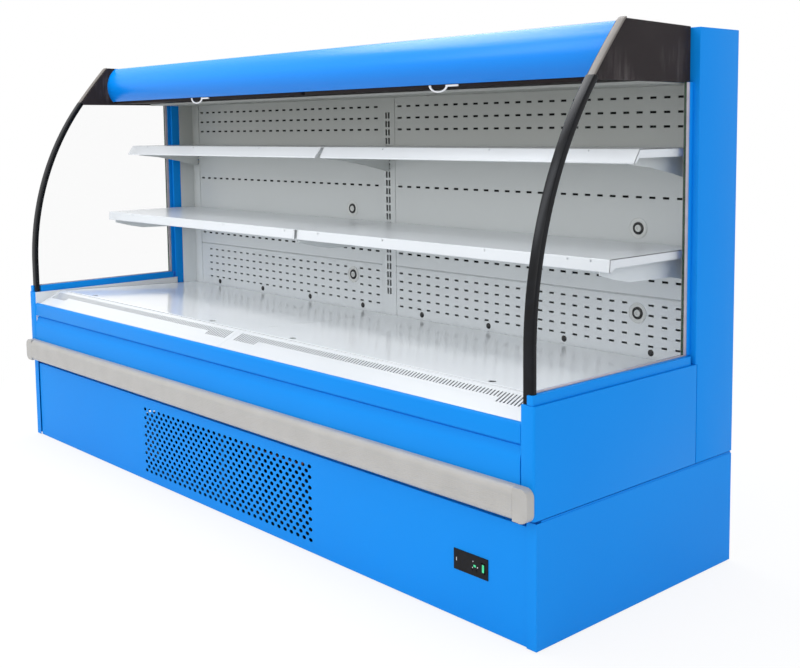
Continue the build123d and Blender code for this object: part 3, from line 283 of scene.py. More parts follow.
def finished(name, mesh, material, body, slot_name, *stands_for, crease=35):
    """A new piece made from a bmesh, smooth except at its creases, riding on a body if one is named."""
    for face in mesh.faces:
        face.smooth = True
    for edge in mesh.edges:
        edge.smooth = len(edge.link_faces) == 2 and edge.calc_face_angle(0) < math.radians(crease)
    data = bpy.data.meshes.new(name)
    mesh.to_mesh(data)
    mesh.free()
    data.materials.append(material)
    piece = bpy.data.objects.new(name, data)
    bpy.context.collection.objects.link(piece)
    if body:
        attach(piece, body)
    if stands_for:
        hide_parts(*stands_for)
    return piece


def ring_of_edges(mesh, sides, placed):
    """A closed loop of edges for an outline or a hole."""
    bmesh.ops.create_circle(mesh, cap_ends=False, radius=1, segments=sides, matrix=placed)


def push(mesh, extruded, way):
    """Moves what an extrusion has made by a vector."""
    bmesh.ops.translate(mesh, vec=way, verts=[part for part in extruded if isinstance(part, bmesh.types.BMVert)])


def extruded(mesh, faces, way):
    """Draws flat faces out into a solid."""
    push(mesh, bmesh.ops.extrude_face_region(mesh, geom=faces)["geom"], way)
    bmesh.ops.recalc_face_normals(mesh, faces=mesh.faces)


def filled(mesh, edges, normal):
    """Fills the outline that edges make, and leaves the holes in it open."""
    bmesh.ops.triangle_fill(mesh, use_beauty=True, use_dissolve=False, edges=edges, normal=normal)


def sheet_from_loops(mesh, thickness, normal):
    """Fills the sheet between the loops, leaves the holes open and gives it its thickness."""
    filled(mesh, mesh.edges[:], normal)
    extruded(mesh, mesh.faces[:], Vector(normal) * -thickness)


def window(x0, x1, y0, y1):
    """Places a four-sided loop so that it fits a rectangle of a flat sheet."""
    half = math.sqrt(0.5)
    middle = Matrix.Translation(((x0 + x1) / 2, (y0 + y1) / 2, 0))
    stretch = Matrix.Diagonal(((x1 - x0) * half, (y1 - y0) * half, 1, 1))
    return middle @ stretch @ Matrix.Rotation(math.radians(45), 4, "Z")


def stood(mesh, depth):
    """Stands a sheet that lies flat upright at a place from front to back."""
    turn = Matrix.Translation((0, depth, 0)) @ Matrix.Rotation(math.radians(90), 4, "X")
    bmesh.ops.transform(mesh, matrix=turn, verts=mesh.verts)


front_sheet = bmesh.new()
ring_of_edges(front_sheet, 4, window(-FRONT_HALF, FRONT_HALF, FRONT_LOW, FRONT_HIGH))
ring_of_edges(front_sheet, 4, window(*CUTOUT))
for row in range(2 * HOLE_ROWS - 1):
    short = row % 2
    for column in range(HOLE_COLUMNS - short):
        x = HOLE_LEFT + (column + short / 2) * HOLE_PITCH
        z = HOLE_LOW + row * HOLE_PITCH / 2
        ring_of_edges(front_sheet, 12, Matrix.Translation((x, z, 0)) @ Matrix.Diagonal((*HOLE_RADIUS, 1, 1)))
sheet_from_loops(front_sheet, FRONT_SHEET, (0, 0, 1))
stood(front_sheet, FRONT_FACE)
for low in (FRONT_LOW, FRONT_HIGH - FRONT_SHEET):
    box_between(front_sheet, (-FRONT_HALF, FRONT_FACE + FRONT_SHEET, low),
                (FRONT_HALF, FRONT_FACE + FRONT_RETURN, low + FRONT_SHEET))
finished("perforated_front", front_sheet, skin_blue, "carcass", "painted_blue", "base_front_panel")

# End walls: foam-filled boxes of the same blue sheet. Their front corners are rolled to a
# generous radius, and a narrow open joint separates each from the rear column.
JOINT = 0.0012
WALL_ROLL = 0.006
WALL_EDGE = 0.0018


def ease(mesh, width, segments=3, wanted=lambda edge: True):
    """Rounds the sharp edges of a mesh, or the wanted ones among them."""
    sharp = [edge for edge in mesh.edges if len(edge.link_faces) == 2
             and edge.calc_face_angle(0) > 0.5 and wanted(edge)]
    bmesh.ops.bevel(mesh, geom=sharp, offset=width, offset_type="OFFSET", affect="EDGES", segments=segments,
                    profile=0.5, material=-1, clamp_overlap=True)


for side in ("left", "right"):
    wall = bmesh.new()
    low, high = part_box("end_panel_" + side)
    box_between(wall, low, (high[0], high[1] - JOINT, high[2]))
    front = low[1]
    ease(wall, WALL_ROLL, 4, lambda edge: all(abs(v.co.y - front) < 1e-5 for v in edge.verts)
         and abs(edge.verts[0].co.z - edge.verts[1].co.z) > 0.01)
    ease(wall, WALL_EDGE, 3)
    finished("end_wall_" + side, wall, skin_blue, "carcass", "painted_blue", "end_panel_" + side)

# Rear columns: full-height box posts in blue sheet, stepped forward above the end walls. A
# narrow channel on the front of each takes the rear edge of the glass.
WALL_BACK = 0.635 - DATUM
WALL_TOP = 0.567
POST_FRONT = 0.628 - DATUM
POST_CHANNEL = (1.2575, 1.2725, 0.614 - DATUM, 0.590, 1.2880)
SIDES = (("left", -1), ("right", 1))


def handed(mesh, hand):
    """The mesh itself for the right-hand side, and its mirror image for the left."""
    if hand > 0:
        return mesh
    twin = mesh.copy()
    bmesh.ops.scale(twin, vec=(-1, 1, 1), verts=twin.verts)
    bmesh.ops.reverse_faces(twin, faces=twin.faces)
    return twin


for side, hand in SIDES:
    post = bmesh.new()
    low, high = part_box("rear_column_right")
    corners = [(WALL_BACK + JOINT, low[2]), (high[1], low[2]), (high[1], high[2]),
               (POST_FRONT, high[2]), (POST_FRONT, WALL_TOP), (WALL_BACK + JOINT, WALL_TOP)]
    side_face = post.faces.new([post.verts.new((low[0], y, z)) for y, z in corners])
    extruded(post, [side_face], (high[0] - low[0], 0, 0))
    box_between(post, (POST_CHANNEL[0], POST_CHANNEL[2], POST_CHANNEL[3]),
                (POST_CHANNEL[1], POST_FRONT + 0.001, POST_CHANNEL[4]))
    ease(post, 0.0016, 3)
    finished("rear_post_" + side, handed(post, hand), skin_blue, "carcass", "painted_blue", "rear_column_" + side)

# Glass sills: folded blue cappings on the end walls. They hold the foot of the side glass
# in a channel, and their upper edge is rolled.
SILL_OUTER = 1.2840
sills = bmesh.new()
sills.from_mesh(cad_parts["glass_sills"].data)
bmesh.ops.remove_doubles(sills, verts=sills.verts, dist=0.00001)
for vertex in sills.verts:
    if abs(vertex.co.x) > 1.279:
        vertex.co.x = math.copysign(SILL_OUTER, vertex.co.x)
bmesh.ops.dissolve_limit(sills, angle_limit=0.02, verts=sills.verts, edges=sills.edges)
ease(sills, 0.0014, 3)
finished("sill_cappings", sills, skin_blue, "carcass", "painted_blue", "glass_sills")

# Top front rail: a rolled blue section with a round nose. It caps the tank wall above the
# shadow groove.
RAIL_BACK = 0.014 - DATUM
RAIL_LOW = 0.477
RAIL_HIGH = 0.524
RAIL_FACE = 0.002 - DATUM
BODY_HALF = 1.248
RAIL_NOSE = 0.007
rail = bmesh.new()
box_between(rail, (-BODY_HALF, RAIL_FACE, RAIL_LOW), (BODY_HALF, RAIL_BACK, RAIL_HIGH))
ease(rail, RAIL_NOSE, 6,
     lambda edge: all(v.co.z > RAIL_HIGH - 0.001 and v.co.y < RAIL_FACE + 0.001 for v in edge.verts))
ease(rail, 0.0008, 2)
finished("top_front_rail", rail, skin_blue, "carcass", "painted_blue", "fascia_rail")

# Bowed fascia: a blue sheet that starts with a rolled shoulder below the groove, swells
# a little and runs down behind the bumper.
SKIRT_TOP = 0.470
SKIRT_CORNER = 0.0100 - DATUM
SKIRT_FACE = -DATUM
SKIRT_CURVE = 0.022
BUMPER_LOW = 0.304
fascia = bmesh.new()
box_between(fascia, (-BODY_HALF, SKIRT_FACE, BUMPER_LOW), (BODY_HALF, RAIL_BACK, SKIRT_TOP))
for vertex in fascia.verts:
    if vertex.co.z > SKIRT_TOP - 0.001 and vertex.co.y < RAIL_BACK - 0.001:
        vertex.co.y = SKIRT_CORNER
level = [edge for edge in fascia.edges if abs(edge.verts[0].co.z - edge.verts[1].co.z) > 0.01]
bmesh.ops.subdivide_edges(fascia, edges=level, cuts=16, use_grid_fill=True)
for vertex in fascia.verts:
    if vertex.co.y < RAIL_BACK - 0.001:
        down = (SKIRT_TOP - vertex.co.z) / SKIRT_CURVE
        vertex.co.y = SKIRT_FACE + (SKIRT_CORNER - SKIRT_FACE) * math.exp(-down * down * 1.6)
box_between(fascia, (-BODY_HALF, RAIL_BACK - 0.0012, SKIRT_TOP - 0.004), (BODY_HALF, RAIL_BACK, RAIL_LOW + 0.002))
finished("bowed_fascia", fascia, skin_blue, "carcass", "painted_blue", "fascia_skirt", crease=25)

# Bumper: a hollow extrusion in warm grey PVC, dull and even, with a soft D section and fine
# grooves along the middle of its face. Moulded caps with rounded corners close its cut ends.
BUMPER_FRONT = -0.024 - DATUM
BUMPER_HIGH = 0.383
CAP_LENGTH = 0.045
CASE_HALF = 1.290
GROOVE_COUNT = 8
GROOVE_STEP = 0.0048
GROOVE_DEEP = 0.0004
GROOVE_WIDE = 0.0016
BUMPER_ROUND = 0.017
CAP_ROUND = 0.021
PVC_CLOUD = 71.43

warm_grey = mottled("extruded_pvc_warm_grey", PVC_CLOUD, (0.35, 0.65), ("#a9a59f", "#aeaaa4"), 0.42, detail=3.0)[0]


def gather(target, extra):
    """Moves a mesh into another one."""
    carrier = bpy.data.meshes.new("gathered")
    extra.to_mesh(carrier)
    extra.free()
    target.from_mesh(carrier)


def with_twin(mesh):
    """A mesh together with its mirror image, as two loose parts of one piece."""
    gather(mesh, handed(mesh, -1))
    return mesh


def cut(mesh, place, facing, drop_below=False):
    """Cuts a mesh along a plane, and drops what lies below it if that is wanted."""
    bmesh.ops.bisect_plane(mesh, geom=mesh.verts[:] + mesh.edges[:] + mesh.faces[:], dist=1e-7, plane_co=place,
                           plane_no=facing, clear_inner=drop_below)


def score(mesh, reach):
    """Presses the fine grooves into the face of a mesh, as far out as they reach."""
    middle = (BUMPER_HIGH + BUMPER_LOW) / 2
    for index in range(GROOVE_COUNT):
        height = middle + (index - (GROOVE_COUNT - 1) / 2) * GROOVE_STEP
        for offset in (-GROOVE_WIDE / 2, 0, GROOVE_WIDE / 2):
            cut(mesh, (0, 0, height + offset), (0, 0, 1))
        for vertex in mesh.verts:
            if abs(vertex.co.z - height) < 1e-5 and vertex.co.y < BUMPER_FRONT + 0.001 and vertex.co.x < reach:
                vertex.co.y += GROOVE_DEEP


bumper = bmesh.new()
span = CASE_HALF - CAP_LENGTH
box_between(bumper, (-span, BUMPER_FRONT, BUMPER_LOW), (span, -DATUM, BUMPER_HIGH))
ease(bumper, BUMPER_ROUND, 9, lambda edge: all(v.co.y < BUMPER_FRONT + 0.001 for v in edge.verts)
     and abs(edge.verts[0].co.x - edge.verts[1].co.x) > 0.1)
score(bumper, CASE_HALF)
finished("bumper_extrusion", bumper, warm_grey, "carcass", "bumper_plastic", "bumper_rail", crease=50)

cap = bmesh.new()
box_between(cap, (span + 0.0006, BUMPER_FRONT, BUMPER_LOW), (CASE_HALF, -DATUM, BUMPER_HIGH))
GROOVE_REACH = CASE_HALF - CAP_ROUND
cut(cap, (GROOVE_REACH, 0, 0), (1, 0, 0))
ease(cap, CAP_ROUND, 8, lambda edge: all(v.co.x > CASE_HALF - 0.001 for v in edge.verts)
     and abs(edge.verts[0].co.y - edge.verts[1].co.y) > 0.01)
ease(cap, BUMPER_ROUND, 9, lambda edge: all(v.co.y < BUMPER_FRONT + 0.001 for v in edge.verts)
     and not all(v.co.x < span + 0.001 for v in edge.verts))
score(cap, GROOVE_REACH - 0.0001)
finished("bumper_caps", with_twin(cap), warm_grey, "carcass", "bumper_plastic", "bumper_end_caps")

# Inside sheets: galvanised steel with a baked white enamel. It is a clean, slightly cool
# white with a soft wet shine, and the deck mirrors the rows of slots behind it.
SHEET_WHITE = "#dadcdd"
SHEET_WHITE_SHADE = "#d7d9da"
ENAMEL_CLOUD = 454.5
ENAMEL_PEEL = 16.67

enamel_white, tree, shader, place = mottled("baked_enamel_white", ENAMEL_CLOUD, (0.35, 0.65),
                                            (SHEET_WHITE_SHADE, SHEET_WHITE), 0.24, detail=3.0)
pebbled(tree, shader, place, ENAMEL_PEEL, 0.02)
dress(enamel_white, "deck_rails", "evaporator_fan_plate", "insulated_tank")
for side, hand in SIDES:
    wall = bpy.data.objects["end_wall_" + side].data
    wall.materials.append(enamel_white)
    for polygon in wall.polygons:
        if polygon.normal.x * hand < -0.9:
            polygon.material_index = 1

# Deck panels: the same enamel on heavier sheet, wiped to a higher shine, so that the plugs
# and slots behind stand mirrored in it. Each lifts out by its two finger holes.
DECK_SMEAR = 166.7
DECK_ROUGHNESS = (0.07, 0.15)
deck_white, tree, shader, place = mottled("baked_enamel_deck", ENAMEL_CLOUD, (0.35, 0.65),
                                          ("#eceeef", "#f1f2f3"), 0.11, detail=3.0)
smear = add(tree, "ShaderNodeTexNoise", {"Vector": place, "Scale": 1000 / DECK_SMEAR, "Detail": 4.0})
wiped = add(tree, "ShaderNodeMapRange", {"Value": smear.outputs["Fac"], "To Min": DECK_ROUGHNESS[0],
                                         "To Max": DECK_ROUGHNESS[1]})
tree.links.new(wiped.outputs["Result"], shader.inputs["Roughness"])
dress(deck_white, "deck_panel_left", "deck_panel_right")

# Return grilles: sloping white sheets, one a bay, between the front rail and the deck. Fine
# slots are punched along the back, and the end blocks of slots are longer.
RETURN_LOW = 0.5205
RETURN_HIGH = 0.562
RETURN_START = 0.014 - DATUM
RETURN_END = 0.108 - DATUM
SLOT_STEP = 0.0115
SLOT_WIDE = 0.0052
SLOT_START = 0.0275
SLOT_STOP = 1.2240
SLOT_BACK = 0.0965 - DATUM
SLOT_FRONT = 0.0760 - DATUM
BLOCK_FRONT = 0.0600 - DATUM
BLOCK_LENGTH = 0.110
GRILLE_START = 0.0004
GRILLE_FEET = (0.512, 0.534)

grille = bmesh.new()
ring_of_edges(grille, 4, window(GRILLE_START, BODY_HALF, RETURN_START, RETURN_END))
slots = int((SLOT_STOP - SLOT_START) / SLOT_STEP)
for index in range(slots + 1):
    x = SLOT_START + index * SLOT_STEP
    in_block = x < SLOT_START + BLOCK_LENGTH or x > SLOT_STOP - BLOCK_LENGTH
    front = BLOCK_FRONT if in_block else SLOT_FRONT
    ring_of_edges(grille, 4, window(x - SLOT_WIDE / 2, x + SLOT_WIDE / 2, front, SLOT_BACK))
sheet_from_loops(grille, FRONT_SHEET, (0, 0, 1))
lean = Matrix.Identity(4)
lean[2][1] = (RETURN_HIGH - RETURN_LOW) / (RETURN_END - RETURN_START)
bmesh.ops.translate(grille, vec=(0, -RETURN_START, 0), verts=grille.verts)
bmesh.ops.transform(grille, matrix=lean, verts=grille.verts)
bmesh.ops.translate(grille, vec=(0, RETURN_START, RETURN_LOW), verts=grille.verts)
box_between(grille, (GRILLE_START, RETURN_START, GRILLE_FEET[0]), (BODY_HALF, RETURN_START + FRONT_SHEET, RETURN_LOW))
box_between(grille, (GRILLE_START, RETURN_END - FRONT_SHEET, GRILLE_FEET[1]), (BODY_HALF, RETURN_END, RETURN_HIGH))
finished("return_air_grilles", with_twin(grille), enamel_white, "carcass", "white_enamel", "return_grilles")

# Back lining: thinner enamelled sheets, a little greyer, with painted shade that deepens towards
# the top. The upper ones carry spaced rows of air slots, and the lower ones are folded back along
# the top and have five close rows.
PANEL_FACE = 0.7266 - DATUM
PANEL_SPLIT = 0.712
PANEL_FOOT = 0.344
PANEL_SHEET = 0.0015
PANEL_INSIDE = 0.0365
PANEL_OUTSIDE = 1.1955
AIR_SLOT = (0.018, 0.006)
AIR_SLOT_STEP = 0.0444
AIR_SLOT_FIRST = 0.061
AIR_SLOT_COUNT = 25
CLOSE_ROWS = 5
CLOSE_ROW_TOP = 0.6865
CLOSE_ROW_STEP = 0.0286
PORT_Z = (0.898, 0.661)
PORT_SLOTS = {-1: 3, 1: 22}
PORT_HOLE = 0.0155
PORT_CLEAR = 0.0335
CREASE = 0.006
CREASE_STEP = 0.0045
LINING_SHADE_SPAN = (0.55, 1.29)

# The lining greys with height: painted shade from the canopy, also on the ceiling, brackets and posts.
lining, tree, shader, place = surface("baked_enamel_lining_painted_shade")
painted_shading = uneven(tree, place, "Z", LINING_SHADE_SPAN, 714.3, 3.0, 0.08)
coloured(tree, shader, painted_shading, (0.0, 1.0), ("#e6eaec", "#b4b6b1"), 0.4)
dress(lining, "ceiling_panel", "upper_shelf_brackets", "lower_shelf_brackets")

UPPER_SLOT = (0.0205, 0.0065)
UPPER_ROWS = (1.255, 1.216, 1.177, 0.984, 0.755)
CEILING = 1.285
TOP_FOLD = (1.2670, 1.2700)


def lined(low, high, rows, slot, port_z, count):
    """Both bays of a flat slotted lining between two heights, with a round hole for the port."""
    both = bmesh.new()
    for hand in (-1, 1):
        flat = bmesh.new()
        ring_of_edges(flat, 4, window(PANEL_INSIDE, PANEL_OUTSIDE, low, high))
        for z in rows:
            for index in range(count[hand]):
                if index != PORT_SLOTS[hand] or abs(z - port_z) > PORT_CLEAR:
                    x = AIR_SLOT_FIRST + index * AIR_SLOT_STEP
                    ring_of_edges(flat, 4, window(x - slot[0] / 2, x + slot[0] / 2, z - slot[1] / 2, z + slot[1] / 2))
        port_x = AIR_SLOT_FIRST + PORT_SLOTS[hand] * AIR_SLOT_STEP
        ring_of_edges(flat, 16, Matrix.Translation((port_x, port_z, 0)) @ Matrix.Diagonal((PORT_HOLE, PORT_HOLE, 1, 1)))
        sheet_from_loops(flat, PANEL_SHEET, (0, 0, 1))
        stood(flat, PANEL_FACE)
        gather(both, handed(flat, hand))
    return both


close_rows = [CLOSE_ROW_TOP - row * CLOSE_ROW_STEP for row in range(CLOSE_ROWS)]
lower_lining = lined(PANEL_FOOT, PANEL_SPLIT - CREASE, close_rows, AIR_SLOT, PORT_Z[1],
                     {-1: AIR_SLOT_COUNT, 1: AIR_SLOT_COUNT + 1})
upper_lining = lined(PANEL_SPLIT, TOP_FOLD[0], UPPER_ROWS, UPPER_SLOT, PORT_Z[0],
                     {-1: AIR_SLOT_COUNT + 1, 1: AIR_SLOT_COUNT + 1})
for hand in (-1, 1):
    x0, x1 = sorted((hand * PANEL_INSIDE, hand * PANEL_OUTSIDE))
    fold = box_between(lower_lining, (x0, PANEL_FACE, PANEL_SPLIT - CREASE),
                       (x1, PANEL_FACE + PANEL_SHEET, PANEL_SPLIT))
    for vertex in fold:
        if vertex.co.z > PANEL_SPLIT - 0.001:
            vertex.co.y += CREASE_STEP
    box_between(upper_lining, (x0, PANEL_FACE + PANEL_SHEET, TOP_FOLD[0] - 0.004),
                (x1, PANEL_FACE + 2 * PANEL_SHEET, CEILING))
    box_between(upper_lining, (x0, PANEL_FACE, TOP_FOLD[1]), (x1, PANEL_FACE + PANEL_SHEET, CEILING))
finished("lower_back_lining", lower_lining, lining, "carcass", "white_enamel", "lower_back_panels")
finished("upper_back_lining", upper_lining, lining, "carcass", "white_enamel", "upper_back_panels")

# Slotted posts: folded channels in the same sheet, a wide one in the middle and an angled one
# in each back corner. Rows of upright slots take the hooks of the shelf brackets.
POST_FACE = PANEL_FACE - 0.0009
POST_HALF = 0.0365
POST_BACK = 0.764 - DATUM
CATCH = (0.0086, 0.021)
CATCH_FIRST = 0.620
CATCH_STEP = 0.0288
CATCH_COUNT = 22
HOOKED = ((0.769, 0.831), (1.035, 1.093))
CATCH_OFFSET = 0.0067
CORNER_OUTER = 1.2465
CORNER_REACH = 0.065
CORNER_CATCH = 1.2075
posts = bmesh.new()
catch_heights = [CATCH_FIRST + row * CATCH_STEP for row in range(CATCH_COUNT)]
hooked_heights = [z for z in catch_heights if any(low < z < high for low, high in HOOKED)]
for x0, x1, columns, heights in ((-POST_HALF, POST_HALF, (-CATCH_OFFSET, CATCH_OFFSET), catch_heights),
                                 (PANEL_OUTSIDE, CORNER_OUTER, (CORNER_CATCH,), hooked_heights),
                                 (-CORNER_OUTER, -PANEL_OUTSIDE, (-CORNER_CATCH,), hooked_heights)):
    face = bmesh.new()
    ring_of_edges(face, 4, window(x0, x1, PANEL_FOOT, CEILING))
    for x in columns:
        for z in heights:
            ring_of_edges(face, 4, window(x - CATCH[0] / 2, x + CATCH[0] / 2, z - CATCH[1] / 2, z + CATCH[1] / 2))
    sheet_from_loops(face, PANEL_SHEET, (0, 0, 1))
    stood(face, POST_FACE)
    gather(posts, face)
for hand in (-1, 1):
    for inner, outer, front, back in ((POST_HALF - PANEL_SHEET, POST_HALF, POST_FACE, POST_BACK),
                                      (PANEL_OUTSIDE, PANEL_OUTSIDE + PANEL_SHEET, POST_FACE, POST_BACK),
                                      (CORNER_OUTER - PANEL_SHEET, CORNER_OUTER, PANEL_FACE - CORNER_REACH, POST_FACE)):
        x0, x1 = sorted((hand * inner, hand * outer))
        box_between(posts, (x0, front, PANEL_FOOT), (x1, back, CEILING))
finished("slotted_posts", posts, lining, "carcass", "white_enamel", "shelf_uprights")

# Shelves: enamelled trays folded from one sheet, with rolled bends, a turned-under lip at the
# front and closed ends. Each rests on two brackets, and small pin holes are punched in the lips.
SHELF_BACK = 0.715 - DATUM
SHELF_FLANGE = 0.022
SHELF_SHEET = 0.0015
SHELF_SPAN = (0.0006, 1.2450)
LIP_CUT = 0.0075
INNER_END = 0.0135
BEND_RADIUS = 0.0026
LIP_RETURN = 0.008
PIN_RADIUS = 0.0028
PIN_DROP = 0.0035


def folded_line(points, steps=5):
    """The line of a folded sheet through its corners, with each bend rounded and a point beside it."""
    line = [points[0]]
    for before, corner, after in zip(points, points[1:], points[2:]):
        back, on = (before - corner).normalized(), (after - corner).normalized()
        half = back.angle(on) / 2
        reach = BEND_RADIUS / math.tan(half)
        centre = corner + (back + on).normalized() * (BEND_RADIUS / math.sin(half))
        first, last = corner + back * reach, corner + on * reach
        line.append(first + back * 0.001)
        for step in range(steps + 1):
            line.append(centre + (first - centre).slerp(last - centre, step / steps) * BEND_RADIUS)
        line.append(last + on * 0.001)
    line.append(points[-1])
    return line


def traced(mesh, points):
    """A line of edges through points."""
    chain = [mesh.verts.new(point) for point in points]
    for first, second in zip(chain, chain[1:]):
        mesh.edges.new((first, second))
    return chain


def drawn(mesh, length):
    """Draws a line of edges out along the case into a sheet."""
    push(mesh, bmesh.ops.extrude_edge_only(mesh, edges=mesh.edges[:])["geom"], (length, 0, 0))


def tray(height, front, reach, drop, pins, mitre):
    """A shelf of the right-hand bay: a folded sheet with a pierced lip, cut back at the middle, and closed ends."""
    made = bmesh.new()
    foot = Vector((0, front - reach, height - drop))
    line = folded_line([Vector((0, SHELF_BACK, height - SHELF_FLANGE)), Vector((0, SHELF_BACK, height)),
                        Vector((0, front, height)), foot, foot + Vector((0, LIP_RETURN, 0))])
    traced(made, line)
    lip = max(((a, b) for a, b in zip(line, line[1:]) if a.y < front + 0.001 and b.y < front + 0.001),
              key=lambda pair: (pair[0] - pair[1]).length)
    bmesh.ops.translate(made, vec=(SHELF_SPAN[0], 0, 0), verts=made.verts)
    drawn(made, SHELF_SPAN[1] - SHELF_SPAN[0])
    for vertex in made.verts:
        if vertex.co.x < 0.01 and vertex.co.y < front + 0.012 and vertex.co.z < height - 0.0004:
            share = min(1.0, (height - vertex.co.z) / drop)
            vertex.co.x += LIP_CUT + mitre * share
    along = (lip[1] - lip[0]).normalized()
    facing = Vector((1, 0, 0)).cross(along).normalized()
    plate = next(face for face in made.faces
                 if all(min((v.co - Vector((v.co.x, *p[1:]))).length for p in lip) < 1e-6 for v in face.verts))
    edges = plate.edges[:]
    bmesh.ops.delete(made, geom=[plate], context="FACES_ONLY")
    for x in pins:
        turn = Matrix((Vector((1, 0, 0)), along, facing)).transposed().to_4x4()
        spot = lip[0] + along * PIN_DROP + Vector((x, 0, 0))
        edges += {edge for vertex in bmesh.ops.create_circle(made, cap_ends=False, radius=PIN_RADIUS, segments=10,
                                                             matrix=Matrix.Translation(spot) @ turn)["verts"]
                  for edge in vertex.link_edges}
    filled(made, edges, facing)
    bmesh.ops.recalc_face_normals(made, faces=made.faces)
    made.faces.ensure_lookup_table()
    top = max(made.faces, key=lambda face: face.calc_area())
    bmesh.ops.solidify(made, geom=made.faces[:], thickness=SHELF_SHEET if top.normal.z > 0 else -SHELF_SHEET)
    for x in (INNER_END, SHELF_SPAN[1] - SHELF_SHEET):
        end = bmesh.new()
        inside = [point + Vector((x, 0, 0)) for point in line]
        inside.append(Vector((x, foot.y + LIP_RETURN + 0.014, height - SHELF_FLANGE)))
        ring = traced(end, inside)
        end.edges.new((ring[-1], ring[0]))
        filled(end, end.edges[:], (1, 0, 0))
        extruded(end, end.faces[:], (SHELF_SHEET, 0, 0))
        gather(made, end)
    return made


for level, height, front, reach, drop, mitre, pins in (
        ("upper", 1.123, 0.442 - DATUM, 0.025, 0.036, 0.005, {-1: (0.352, 0.780, 1.122), 1: (0.300, 0.745, 1.090)}),
        ("lower", 0.861, 0.327 - DATUM, 0.003, 0.032, 0.0,
         {-1: (0.060, 0.420, 1.060), 1: (0.115, 0.420, 0.833, 1.115, 1.187)})):
    for side, hand in SIDES:
        shelf = handed(tray(height, front, reach, drop, pins[hand], mitre), hand)
        finished(level + "_tray_" + side, shelf, enamel_white, "carcass", "white_enamel", level + "_shelf_" + side)

# Back wall liner: behind the lining the duct is in shade. A thin sheet there is painted black
# (painted shade) and pale grey only low down (painted light), so the slots above look black.
DUCT_LIT = (0.700, 0.722)
duct_painted_shade, tree, shader, place = surface("painted_duct_light_and_shade")
painted_shading = uneven(tree, place, "Z", DUCT_LIT, 40, 4.0, -0.04)
coloured(tree, shader, painted_shading, (0.0, 0.9), ("#8a8f91", "#070808"), 0.6)
# A dark sheet that stands in for the shade in the duct, with painted light low down.
SHADE_SHEET_THICK = 0.0008
shade_sheet = bmesh.new()
box_between(shade_sheet, (-BODY_HALF, POST_BACK - SHADE_SHEET_THICK, PANEL_FOOT), (BODY_HALF, POST_BACK, CEILING))
finished("duct_shade_sheet", shade_sheet, duct_painted_shade, "carcass", "painted_blue")

# Ports: moulded sleeves that take hoses through the lining. Each has a thin pale flange and
# a white tube in plain ABS with a low shine, and a black rubber ring between them.
MOULD_GRAIN = 2.5
pale_plastic = mottled("moulded_abs_pale", MOULD_GRAIN, (0.3, 0.7), ("#cfd1ce", "#d9dad8"), 0.4)[0]
black_plastic = mottled("moulded_nylon_black", MOULD_GRAIN, (0.3, 0.7), ("#0e0f10", "#161719"), 0.38)[0]
dress(black_plastic, "condenser_fan", "evaporator_fan_left", "evaporator_fan_right", "compressor", "levelling_feet")


def turned(profile, place, steps=32):
    """A round piece spun about the front-to-back line from (radius, proud) points."""
    made = bmesh.new()
    traced(made, [(radius, -proud, 0) for radius, proud in profile])
    bmesh.ops.spin(made, geom=made.verts[:] + made.edges[:], cent=(0, 0, 0), axis=(0, 1, 0), angle=math.tau,
                   steps=steps, use_merge=True)
    bmesh.ops.remove_doubles(made, verts=made.verts, dist=1e-7)
    bmesh.ops.recalc_face_normals(made, faces=made.faces)
    bmesh.ops.translate(made, vec=place, verts=made.verts)
    return made


port_places = [(hand * (AIR_SLOT_FIRST + PORT_SLOTS[hand] * AIR_SLOT_STEP), PANEL_FACE, z)
               for hand in (-1, 1) for z in PORT_Z]
flanges = bmesh.new()
seals = bmesh.new()
for spot in port_places:
    gather(flanges, turned([(0.0180, -0.003), (0.0180, 0.0008), (0.0200, 0.0014), (0.0250, 0.0014), (0.0255, 0.0006),
                            (0.0278, 0.0006), (0.0288, 0.0016), (0.0293, 0.0), (0.0180, -0.003)], spot))
    gather(flanges, turned([(0.0048, -0.003), (0.0048, 0.0030), (0.0062, 0.0037), (0.0098, 0.0032), (0.0102, -0.003),
                            (0.0048, -0.003)], spot))
    gather(flanges, turned([(0.0, 0.0004), (0.0049, 0.0004), (0.0049, -0.0028), (0.0, -0.0028)], spot))
    gather(seals, turned([(0.0102, -0.003), (0.0102, 0.0020), (0.0135, 0.0037), (0.0172, 0.0026), (0.0180, -0.003),
                          (0.0102, -0.003)], spot))
finished("port_flanges", flanges, pale_plastic, "carcass", "grey_plastic", "panel_ports")
finished("port_seals", seals, black_plastic, "carcass", "grey_plastic", "panel_ports")

# Plugs: domed black nylon caps, moulded and pressed into the fixing holes along the foot of
# the lining. Each has a soft shine and stands mirrored in the deck.
PLUG_COUNT = 8
PLUG_STEP = 0.3069
PLUG_MIDDLE = 0.0088
PLUG_HEIGHT = 0.5546
plugs = bmesh.new()
for index in range(PLUG_COUNT):
    spot = (PLUG_MIDDLE + (index - (PLUG_COUNT - 1) / 2) * PLUG_STEP, PANEL_FACE, PLUG_HEIGHT)
    gather(plugs, turned([(0.0, 0.0030), (0.0030, 0.0029), (0.0060, 0.0024), (0.0082, 0.0016), (0.0092, 0.0010),
                          (0.0095, 0.0004), (0.0095, -0.0008), (0.0, -0.0008)], spot, 20))
finished("lining_plugs", plugs, black_plastic, "carcass", "black_plastic", "panel_plugs")

# Satin black powder coat: baked on the edge channels, and on the condenser and the condensate
# tray behind the holes, where the black is also painted shade for the dark machine bay. It is
# smooth and deep, with a soft light line where it turns.
satin_black = mottled("powder_coat_black", 25, (0.4, 0.7), ("#08090c", "#0e1015"), 0.22, detail=4.0,
                      specular=0.18)[0]
# The condenser and tray are black partly as painted shade inside the machine bay.
dress(satin_black, "condenser_coil", "condensate_tray")

